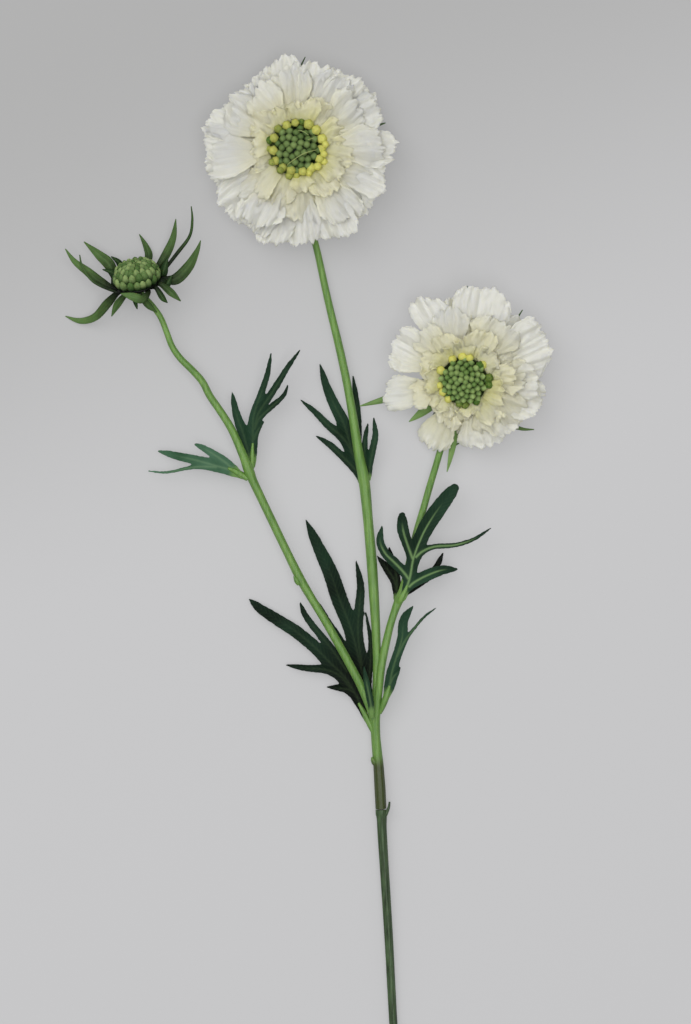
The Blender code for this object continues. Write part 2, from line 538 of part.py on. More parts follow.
def yellow_ring(name, inner, outer, angles, middle):
    """The ring of yellow florets round the green centre, on a thin ring."""
    top = DISC_Z + YELLOW_RING_HEIGHT
    ring = turned(name, [(inner, top), (outer, top), (outer, DISC_Z), (inner, DISC_Z), (inner, top)], 15)
    made = []
    for k, angle in enumerate(angles):
        turn = math.radians(angle)
        where = (middle * math.cos(turn), middle * math.sin(turn), top + 0.5 + 0.35 * (k % 2))
        outward = Vector((0.25 * math.cos(turn), 0.25 * math.sin(turn), 1.0)).normalized()
        made.append(floret(f"yellow_{k}", where, YELLOW_RADIUS, 1.2, outward))
    return fuse(ring, made)


def seat_head(obj, centre, lean):
    """Leans a bloom's piece about the middle of its plate and sets it at its place."""
    pivot = Vector((0, 0, PLATE_Z * MM))
    tilt = Matrix.Rotation(math.radians(-lean[1]), 4, "X") @ Matrix.Rotation(math.radians(lean[0]), 4, "Y")
    move = Matrix.Translation(Vector((centre[0], centre[1], 0)) * MM)
    obj.matrix_world = move @ Matrix.Translation(pivot) @ tilt @ Matrix.Translation(-pivot)


def finish(obj, material, collection):
    """Gives a finished piece its material, its shading and its collection."""
    obj.data.materials.clear()
    obj.data.materials.append(material)
    obj.data.shade_smooth()
    obj.data.set_sharp_from_angle(angle=SHARP_ANGLE)
    bpy.context.scene.collection.objects.unlink(obj)
    collection.objects.link(obj)


def press_flat(obj):
    """Where a piece would sink into the surface it gets a small flat spot at z = 0."""
    for vertex in obj.data.vertices:
        if vertex.co.z < 0:
            vertex.co.z = 0.0


def stems(collection, dark, light):
    lower = tube("stem_lower", STEM_LOWER, 12.0)
    lower = fuse(lower, [blade("stub", STUB, STUB_THICK, 3)])
    press_flat(lower)
    finish(lower, dark, collection)
    main = tube("stem_branched", STEM_MAIN, 10.0)
    left = tube("stem_left", STEM_LEFT, 10.0)
    right = tube("stem_right", STEM_RIGHT, 10.0)
    nub_low = floret("nub_low", (28.2, -65.6, 5.8), 1.3, 1.5, Vector((-0.5, 0.8, 0.2)).normalized())
    nub_left = floret("nub_left", (-3.6, 9.0, 10.6), 1.3, 1.6, Vector((-0.6, 0.7, 0.3)).normalized())
    stem = fuse(main, [left, right, nub_low, nub_left])
    press_flat(stem)
    finish(stem, light, collection)


def leaf(name, lobes, collection, material):
    first = blade(name, lobes[0], LEAF_THICK, 6)
    rest = [
        blade(f"{name}_lobe_{k}", lobe, LEAF_THICK, len(lobe) - 1) for k, lobe in enumerate(lobes[1:])
    ]
    finish(fuse(first, rest), material, collection)


def bud(collection, head_material, bract_material):
    axis = Vector(BUD_AXIS).normalized()
    right = Vector((axis.y, -axis.x, 0)).normalized()
    turn = Matrix((right, axis.cross(right), axis)).transposed().to_4x4()
    place = Matrix.Translation(Vector(BUD_CENTRE) * MM) @ turn
    dome = turned("bud_head", dome_profile(BUD_RADIUS, 7.4, SEAT_GAP, 3), 10)
    florets = florets_on_dome(BUD_FLORETS, BUD_RADIUS - 0.2, 7.2, SEAT_GAP, BUD_FLORET_RADIUS, 1.25, 0.9)
    head = fuse(dome, florets)
    head.matrix_world = place
    finish(head, head_material, collection)
    cup = turned(
        "bud_bracts",
        [(0.0, 0.0), (BUD_RADIUS + 0.6, 0.0), (BUD_RADIUS + 0.9, -0.9),
         (6.0, -2.6), (2.4, -3.6), (0.0, -3.6)],
        16,
    )
    cup.data.transform(place)
    made = []
    for k, (angle, width, route) in enumerate(BUD_BRACTS):
        around = math.radians(angle)
        start = []
        for radius, height in [(BUD_FOOT_RADIUS, -1.5), (BUD_RADIUS + 1.9, -1.0)]:
            local = Vector((radius * math.cos(around), radius * math.sin(around), height))
            start.append((*(place @ (local * MM) / MM), width))
        made.append(blade(f"bract_{k}", [*start, *route], BRACT_THICK, 2 + len(route)))
    bracts = fuse(cup, made)
    finish(bracts, bract_material, collection)


def build():
    for obj in list(bpy.data.objects):
        bpy.data.objects.remove(obj, do_unlink=True)
    spray = bpy.data.collections.new("scabiosa_spray")
    bpy.context.scene.collection.children.link(spray)
    stem_dark = new_material("stem_dark_green", (0.048, 0.102, 0.036), 0.55)
    stem_light = new_material("stem_light_green", (0.181, 0.366, 0.080), 0.5)
    leaf_green = new_material("leaf_green", (0.020, 0.075, 0.035), 0.6)
    bract_green = new_material("bract_green", (0.078, 0.212, 0.060), 0.6)
    petal_white = new_material("petal_white", (0.730, 0.716, 0.610), 0.7)
    floret_green = new_material("floret_green", (0.095, 0.215, 0.062), 0.6)
    floret_yellow = new_material("floret_yellow", (0.584, 0.617, 0.144), 0.6)
    bud_green = new_material("bud_green", (0.212, 0.352, 0.107), 0.6)

    stems(spray, stem_dark, stem_light)
    for name, lobes in [
        ("leaf_fork_back", LEAF_FORK_BACK),
        ("leaf_fork_left", LEAF_FORK_LEFT),
        ("leaf_fork_front", LEAF_FORK_FRONT),
        ("leaf_fork_right", LEAF_FORK_RIGHT),
        ("leaf_left_outer", LEAF_LEFT_OUTER),
        ("leaf_left_upper", LEAF_LEFT_UPPER),
        ("leaf_mid_left", LEAF_MID_LEFT),
        ("leaf_mid_right", LEAF_MID_RIGHT),
        ("leaf_right_main", LEAF_RIGHT_MAIN),
        ("leaf_right_back", LEAF_RIGHT_BACK),
    ]:
        leaf(name, lobes, spray, leaf_green)

    heads = [
        ("top", TOP_CENTRE, TOP_LEAN, TOP_OUTER, TOP_INNER, TOP_BRACTS, TOP_FLORETS, 7.9, 4.6,
         TOP_FLORET_RADIUS, range(*TOP_YELLOW_FROM_TO)),
        ("right", RIGHT_CENTRE, RIGHT_LEAN, RIGHT_OUTER, RIGHT_INNER, RIGHT_BRACTS, RIGHT_FLORETS, 8.2, 6.4,
         RIGHT_FLORET_RADIUS, RIGHT_YELLOW_AT),
    ]
    for side, centre, lean, outer, inner, bracts, count, radius, height, size, yellow in heads:
        for obj, material in [
            (petals(f"{side}_petals", outer, inner), petal_white),
            (calyx(f"{side}_calyx", bracts), bract_green),
            (disc(f"{side}_disc", count, radius, height, size), floret_green),
            (yellow_ring(f"{side}_yellow", radius + 1.7, 11.6, yellow, 10.7), floret_yellow),
        ]:
            seat_head(obj, centre, lean)
            finish(obj, material, spray)
    bud(spray, bud_green, bract_green)


build()
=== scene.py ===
"""A white scabiosa spray: one cut stem with two open blooms, a bud and ten cut leaves, lying on a surface.

Sizes are in millimetres, and MM turns them to metres. The stem lies along Y and the blooms face up.
"""

import math

import bmesh
import bpy
import numpy as np
from mathutils import Matrix, Vector, noise


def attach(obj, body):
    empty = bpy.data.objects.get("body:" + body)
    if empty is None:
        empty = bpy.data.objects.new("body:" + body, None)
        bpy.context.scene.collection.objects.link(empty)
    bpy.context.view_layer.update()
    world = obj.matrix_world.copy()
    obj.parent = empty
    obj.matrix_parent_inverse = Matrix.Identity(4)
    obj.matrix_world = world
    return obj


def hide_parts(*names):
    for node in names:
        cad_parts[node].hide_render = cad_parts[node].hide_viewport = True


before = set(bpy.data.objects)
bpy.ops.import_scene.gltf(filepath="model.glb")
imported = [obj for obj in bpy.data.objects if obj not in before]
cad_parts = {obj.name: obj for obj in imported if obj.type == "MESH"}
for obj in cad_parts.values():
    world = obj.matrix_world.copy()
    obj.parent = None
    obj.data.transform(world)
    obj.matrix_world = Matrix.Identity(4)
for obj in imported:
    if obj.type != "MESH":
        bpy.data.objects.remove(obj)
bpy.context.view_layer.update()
MM = 0.001

# The lower stem is a rod of dark green polyethylene moulded over a wire and cut off square at its foot.
# Its top is a thicker socket with a short stub at its side, and the branched stem is pushed into it.

# Every stem is a route of x, y, z and half width from foot to tip
STEM_LOWER = [
    (39.45, -228.2, 1.66, 1.70), (36.3, -179.1, 2.2, 1.70), (34.1, -138.8, 3.0, 1.80),
    (31.6, -99.3, 4.0, 1.95), (31.25, -90.6, 4.3, 2.10), (31.15, -88.6, 4.35, 2.45),
    (31.1, -86.6, 4.4, 2.50),
]
STUB = [(31.6, -90.6, 4.6, 1.1), (33.2, -88.0, 5.0, 0.8), (34.3, -85.4, 5.4, 0.55), (34.6, -83.2, 5.8, 0.4)]
# The streaks and blotches of the plastic, in mm, and the angle past which an edge such as the cut stays sharp
STREAK_WIDTH, STREAK_LENGTH = 0.909, 11.11
CUT_EDGE = math.radians(50)


def add(tree, kind, inputs=None, **settings):
    """Adds a node with its settings, and links or sets its inputs by name or number."""
    node = tree.nodes.new(kind)
    for name, value in settings.items():
        setattr(node, name, value)
    for key, value in (inputs or {}).items():
        if isinstance(value, Formula):
            value = value.socket
        if isinstance(value, bpy.types.Node):
            value = next(socket for socket in value.outputs if socket.enabled)
        if isinstance(value, bpy.types.NodeSocket):
            tree.links.new(value, node.inputs[key])
        elif value is not None:
            node.inputs[key].default_value = value
    return node


class Formula:
    """A number in a node tree that formulas can use: each sign adds one Math node."""

    def __init__(self, tree, source):
        self.tree = tree
        self.socket = source.outputs[0] if isinstance(source, bpy.types.Node) else source

    def then(self, operation, *others):
        inputs = dict(enumerate([self, *others]))
        return Formula(self.tree, add(self.tree, "ShaderNodeMath", inputs, operation=operation))

    def __add__(self, other):
        return self.then("ADD", other)

    def __sub__(self, other):
        return self.then("SUBTRACT", other)

    def __rsub__(self, other):
        return self.then("MULTIPLY_ADD", -1.0, other)

    def __mul__(self, other):
        return self.then("MULTIPLY", other)

    def __truediv__(self, other):
        return self.then("DIVIDE", other)

    def __pow__(self, other):
        return self.then("POWER", other)

    __radd__ = __add__
    __rmul__ = __mul__


def new_tree(name, defaults):
    """A Geometry Nodes tree and its named inputs; the type of each default gives the type of its socket."""
    tree = bpy.data.node_groups.new(name, "GeometryNodeTree")
    tree.interface.new_socket("Geometry", in_out="INPUT", socket_type="NodeSocketGeometry")
    kinds = {float: "NodeSocketFloat", int: "NodeSocketInt", type(None): "NodeSocketMaterial"}
    for label, value in defaults.items():
        socket = tree.interface.new_socket(label, in_out="INPUT", socket_type=kinds[type(value)])
        if value is not None:
            socket.default_value = value
    tree.interface.new_socket("Geometry", in_out="OUTPUT", socket_type="NodeSocketGeometry")
    entry = tree.nodes.new("NodeGroupInput")
    given = {"Geometry": entry.outputs["Geometry"]}
    for label in defaults:
        given[label] = Formula(tree, entry.outputs[label])
    return tree, given


def close_tree(tree, geometry, material):
    """Ends a tree: instances made real, smooth shading, the material, and the group's output."""
    real = add(tree, "GeometryNodeRealizeInstances", {"Geometry": geometry})
    smooth = add(tree, "GeometryNodeSetShadeSmooth", {"Geometry": real, "Shade Smooth": True})
    dressed = add(tree, "GeometryNodeSetMaterial", {"Geometry": smooth, "Material": material})
    add(tree, "NodeGroupOutput", {"Geometry": dressed})
    return tree


def into_scene(name, data):
    """Links a new object to the scene: a mesh at the origin, a lamp or the camera."""
    obj = bpy.data.objects.new(name, data)
    bpy.context.scene.collection.objects.link(obj)
    return obj


def mark(mesh, numbers):
    """Stores named values at each point of a mesh, for a tree or a material to read."""
    for label, values in numbers.items():
        mesh.attributes.new(label, "FLOAT", "POINT").data.foreach_set("value", values)


def points_mesh(name, points, numbers, edges=(), out=None):
    """A mesh object of points in mm and of edges, with the values and the outward direction at each point."""
    mesh = bpy.data.meshes.new(name)
    mesh.from_pydata([Vector(point) * MM for point in points], list(edges), [])
    mark(mesh, numbers)
    if out:
        flat = [part for direction in out for part in direction]
        mesh.attributes.new("out", "FLOAT_VECTOR", "POINT").data.foreach_set("vector", flat)
    return into_scene(name, mesh)


def strands(name, routes, tones=None):
    """Routes of x, y, z and half width, each with a tone, as one object of edges for a tree to sweep."""
    points, edges, wide, along, tone = [], [], [], [], []
    for k, route in enumerate(routes):
        first = len(points)
        edges += [(first + n, first + n + 1) for n in range(len(route) - 1)]
        points += [point[:3] for point in route]
        wide += [point[3] * MM for point in route]
        along += [n / (len(route) - 1) for n in range(len(route))]
        tone += [tones[k] if tones else 0.5] * len(route)
    return points_mesh(name, points, {"half_width": wide, "along": along, "tone": tone}, edges)


def grown(source, tree, values):
    """Runs a tree on a source object and returns the result as a plain mesh object at the origin."""
    modifier = source.modifiers.new("Grow", "NODES")
    modifier.node_group = tree
    for item in tree.interface.items_tree:
        if item.in_out == "INPUT" and item.name in values:
            modifier[item.identifier] = values[item.name]
    bpy.context.view_layer.update()
    graph = bpy.context.evaluated_depsgraph_get()
    mesh = bpy.data.meshes.new_from_object(source.evaluated_get(graph), depsgraph=graph)
    name = source.name
    bpy.data.objects.remove(source, do_unlink=True)
    mesh.name = name
    return into_scene(name, mesh)


def fit(piece, node):
    """Puts a finished piece in place of its CAD node."""
    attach(piece, "root")
    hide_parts(node)


def linear(code):
    """An sRGB hex colour as the linear colour that a socket takes."""
    channels = [int(code[k:k + 2], 16) / 255 for k in (1, 3, 5)]
    return (*(c / 12.92 if c <= 0.04045 else ((c + 0.055) / 1.055) ** 2.4 for c in channels), 1.0)


def new_finish(name, **sockets):
    """A material with one Principled shader; the sockets hold what is the same all over the surface."""
    material = bpy.data.materials.new(name)
    material.use_nodes = True
    tree = material.node_tree
    shader = tree.nodes["Principled BSDF"]
    for label, value in sockets.items():
        shader.inputs[label.replace("_", " ")].default_value = value
    return material, tree, shader


def smooth_paths(tree, given):
    """The source's edges as smooth curves, with a point at each spacing."""
    paths = add(tree, "GeometryNodeMeshToCurve", {"Mesh": given["Geometry"]})
    paths = add(tree, "GeometryNodeCurveSplineType", {"Curve": paths}, spline_type="CATMULL_ROM")
    return add(tree, "GeometryNodeResampleCurve", {"Curve": paths, "Length": given["Spacing"]}, mode="LENGTH")


def unevened(tree, skin, scale, detail, depth):
    """Moves a skin in and out along its normals by a noise, as an uneven mould does."""
    here = add(tree, "GeometryNodeInputPosition")
    grain = add(tree, "ShaderNodeTexNoise", {"Vector": here, "Scale": scale, "Detail": detail})
    amount = (Formula(tree, grain) - 0.5) * depth
    offset = add(tree, "ShaderNodeVectorMath", {0: add(tree, "GeometryNodeInputNormal"), 3: amount}, operation="SCALE")
    return add(tree, "GeometryNodeSetPosition", {"Geometry": skin, "Offset": offset})


def stem_tree():
    """Sweeps a softly ribbed round section along each route, with a fine unevenness from the mould."""
    tree, given = new_tree("moulded_stem", {
        "Spacing": 0.0009, "Sides": 24, "Ribs": 6.0, "Rib Depth": 0.06,
        "Grain Size": 0.004, "Grain Depth": 0.00008, "Material": None,
    })
    section = add(tree, "GeometryNodeCurvePrimitiveCircle", {"Resolution": given["Sides"], "Radius": 1.0})
    here = add(tree, "GeometryNodeInputPosition")
    axes = add(tree, "ShaderNodeSeparateXYZ", {0: here})
    angle = Formula(tree, axes.outputs[1]).then("ARCTAN2", axes.outputs[0])
    rib = 1.0 + (angle * given["Ribs"]).then("COSINE") * given["Rib Depth"]
    ribbed = add(tree, "ShaderNodeVectorMath", {0: here, 3: rib}, operation="SCALE")
    section = add(tree, "GeometryNodeSetPosition", {"Geometry": section, "Position": ribbed})
    wide = add(tree, "GeometryNodeInputNamedAttribute", {"Name": "half_width"})
    skin = add(tree, "GeometryNodeCurveToMesh", {
        "Curve": smooth_paths(tree, given), "Profile Curve": section, "Scale": wide.outputs[0], "Fill Caps": True,
    })
    skin = unevened(tree, skin, given["Grain Size"] ** -1.0, 2.0, given["Grain Depth"])
    return close_tree(tree, skin, given["Material"])


def per_metre(size):
    """How often a pattern of a size in mm repeats in a metre, which is the scale that a noise takes."""
    return 1.0 / (size * MM)


def stem_finish(name, green, shadow, gloss):
    """Moulded polyethylene: a soft satin plastic with long streaks where it flowed along the mould."""
    material, tree, shader = new_finish(
        name, Roughness=gloss, Specular_IOR_Level=0.3, Subsurface_Weight=0.06, Subsurface_Scale=MM,
    )
    place = add(tree, "ShaderNodeTexCoord").outputs["Object"]
    across, along = per_metre(STREAK_WIDTH), per_metre(STREAK_LENGTH)
    long = add(tree, "ShaderNodeMapping", {"Vector": place, "Scale": (across, along, across)})
    streaks = Formula(tree, add(tree, "ShaderNodeTexNoise", {"Vector": long, "Scale": 1.0, "Detail": 3.0}))
    blotches = Formula(tree, add(tree, "ShaderNodeTexNoise", {"Vector": place, "Scale": along, "Detail": 3.0}))
    amount = streaks * 1.5 + blotches * 0.9 - 0.75
    colour = add(tree, "ShaderNodeMix", {0: amount, 6: linear(shadow), 7: linear(green)}, data_type="RGBA")
    tree.links.new(colour.outputs[2], shader.inputs["Base Color"])
    bump = add(tree, "ShaderNodeBump", {"Height": streaks, "Strength": 0.35, "Distance": 0.0004})
    tree.links.new(bump.outputs["Normal"], shader.inputs["Normal"])
    return material, tree, shader, colour


dark_plastic = stem_finish("moulded_polyethylene_dark", "#57714B", "#182614", 0.42)[0]
stem_skin = stem_tree()
lower_stem = grown(strands("lower_stem_rod", [STEM_LOWER, STUB]), stem_skin, {
    "Ribs": 5.0, "Rib Depth": 0.07, "Material": dark_plastic,
})
lower_stem.data.set_sharp_from_angle(angle=CUT_EDGE)
fit(lower_stem, "stem_lower")

# The branched stem is one moulding of light green polyethylene. It forks just above the socket into the stalk
# of the top bloom, the stalk of the bud and the stalk of the right bloom, each swollen where leaves clasp it.

STEM_MAIN = [
    (31.05, -86.2, 4.42, 2.15), (30.6, -77.4, 4.8, 2.20), (30.0, -68.2, 5.1, 2.05),
    (29.4, -62.3, 5.5, 1.95), (28.8, -55.2, 6.0, 1.85), (28.6, -46.8, 6.6, 1.90),
    (29.1, -36.3, 7.2, 1.65), (29.3, -23.7, 7.6, 1.60), (28.9, -11.2, 7.8, 1.75),
    (28.2, 1.4, 7.8, 1.95), (27.1, 18.1, 7.6, 2.05), (25.6, 34.9, 7.2, 1.95),
    (24.0, 50.8, 6.7, 2.20), (21.6, 63.3, 6.2, 1.95), (18.1, 85.1, 5.4, 1.65),
    (14.3, 104.0, 4.6, 1.60), (8.8, 127.1, 3.5, 1.45), (4.2, 148.1, 2.4, 1.32),
    (0.6, 160.8, 1.7, 1.32), (-2.1, 170.9, 1.3, 1.35), (-3.4, 178.5, 1.6, 1.45),
    (-3.9, 184.8, 3.0, 1.60), (-4.0, 188.6, 6.2, 1.80), (-4.0, 189.4, 8.8, 1.90),
    (-4.0, 189.4, 11.0, 1.90),
]
STEM_LEFT = [
    (28.7, -53.1, 6.4, 1.40), (27.3, -46.3, 7.2, 1.60), (25.2, -40.5, 8.0, 1.65),
    (22.2, -33.7, 8.8, 1.65), (18.5, -26.6, 9.4, 1.65), (13.9, -18.2, 9.8, 1.65),
    (8.0, -7.8, 10.0, 1.62), (2.2, 1.8, 10.0, 1.62), (-2.9, 10.6, 10.0, 1.75),
    (-8.3, 21.5, 10.0, 1.62), (-13.3, 31.9, 10.0, 1.62), (-18.7, 43.2, 10.2, 1.65),
    (-22.5, 51.2, 10.4, 1.75), (-24.0, 54.9, 10.5, 2.05), (-26.7, 62.0, 10.6, 1.70),
    (-31.1, 72.1, 10.8, 1.55), (-35.9, 80.0, 10.8, 1.50), (-40.5, 86.7, 10.6, 1.45),
    (-43.6, 92.6, 10.4, 1.42), (-47.6, 97.2, 10.2, 1.38), (-53.0, 102.6, 10.0, 1.32),
    (-56.4, 107.6, 9.8, 1.25), (-58.5, 113.1, 9.6, 1.18), (-61.0, 119.3, 9.3, 1.15),
    (-64.2, 124.0, 8.9, 1.15), (-67.2, 127.3, 8.9, 1.20), (-69.4, 129.7, 10.1, 1.35),
    (-69.75, 131.0, 10.9, 1.40),
]
STEM_RIGHT = [
    (29.0, -49.7, 6.6, 1.45), (29.6, -40.5, 7.8, 1.60), (30.3, -34.2, 8.6, 1.62),
    (31.1, -27.0, 9.1, 1.62), (32.5, -19.5, 9.2, 1.60), (34.6, -10.3, 9.3, 1.50),
    (36.5, -4.0, 9.4, 1.50), (38.5, 1.4, 9.5, 1.75), (40.2, 6.0, 9.5, 1.50),
    (41.9, 13.1, 9.2, 1.42), (44.0, 22.3, 8.8, 1.40), (46.5, 31.9, 8.2, 1.40),
    (49.0, 40.3, 7.4, 1.38), (51.6, 49.5, 6.4, 1.35), (53.9, 57.1, 5.3, 1.32),
    (56.0, 64.2, 4.2, 1.30), (58.3, 71.8, 3.0, 1.28), (60.7, 79.3, 1.9, 1.28),
    (62.8, 84.5, 1.3, 1.30), (64.4, 89.4, 2.0, 1.40), (65.2, 92.0, 4.6, 1.60),
    (65.5, 93.3, 8.0, 1.80), (65.6, 93.9, 10.3, 1.90),
]
NUB_LOW = [(28.6, -67.6, 5.6, 0.9), (27.9, -66.0, 5.9, 1.1), (27.2, -64.4, 6.0, 0.3)]
NUB_LEFT = [(-3.2, 8.0, 10.4, 0.9), (-4.2, 9.6, 10.8, 1.1), (-5.4, 11.4, 11.2, 0.3)]
# Where the light green fades to the dark green of the lower stem, along Y
FADE_FROM, FADE_TO = -69.0, -62.5

# Where a leaf sits, its pale foot wraps the stalk
CLASPS = [
    [(30.4, -46.0, 7.0, 0.9), (31.8, -42.6, 7.8, 1.3), (33.4, -38.6, 8.4, 1.2), (34.6, -34.4, 8.7, 0.5)],
    [(27.8, -54.0, 6.2, 0.9), (26.2, -50.4, 5.9, 1.2), (24.0, -46.0, 5.7, 1.0), (21.6, -41.8, 5.6, 0.5)],
    [(-24.6, 52.0, 10.2, 1.0), (-27.0, 53.6, 10.0, 1.3), (-29.8, 55.2, 9.6, 1.1), (-33.0, 56.6, 9.4, 0.5)],
    [(-23.6, 54.6, 9.6, 1.0), (-22.9, 58.6, 8.9, 1.1), (-22.8, 63.0, 8.7, 0.8), (-22.6, 67.0, 8.7, 0.4)],
    [(38.4, 0.0, 10.6, 1.2), (39.4, 2.0, 11.3, 1.4), (40.8, 4.8, 11.9, 1.0), (42.0, 7.6, 12.2, 0.5)],
]
light_plastic, tree, shader, colour = stem_finish("moulded_polyethylene_light", "#7DA452", "#507834", 0.4)
place = add(tree, "ShaderNodeSeparateXYZ", {0: add(tree, "ShaderNodeTexCoord").outputs["Object"]})
fade = add(tree, "ShaderNodeMapRange", {
    0: place.outputs[1], 1: FADE_FROM * MM, 2: FADE_TO * MM, 3: 1.0, 4: 0.0,
}, interpolation_type="SMOOTHSTEP")
faded = add(tree, "ShaderNodeMix", {0: fade, 6: colour.outputs[2], 7: linear("#3C4722")}, data_type="RGBA")
tree.links.new(faded.outputs[2], shader.inputs["Base Color"])
rods = strands("branched_stem_rods", [STEM_MAIN, STEM_LEFT, STEM_RIGHT, NUB_LOW, NUB_LEFT, *CLASPS])
branched_stem = grown(rods, stem_skin, {"Material": light_plastic})
branched_stem.data.set_sharp_from_angle(angle=CUT_EDGE)
fit(branched_stem, "stem_branched")

# Ten cut leaves, stamped from printed polyester cloth and pressed into shape with a raised pale midrib in each
# lobe. Their feet clasp the swellings of the stem in pairs: four at the fork and two at each higher joint.

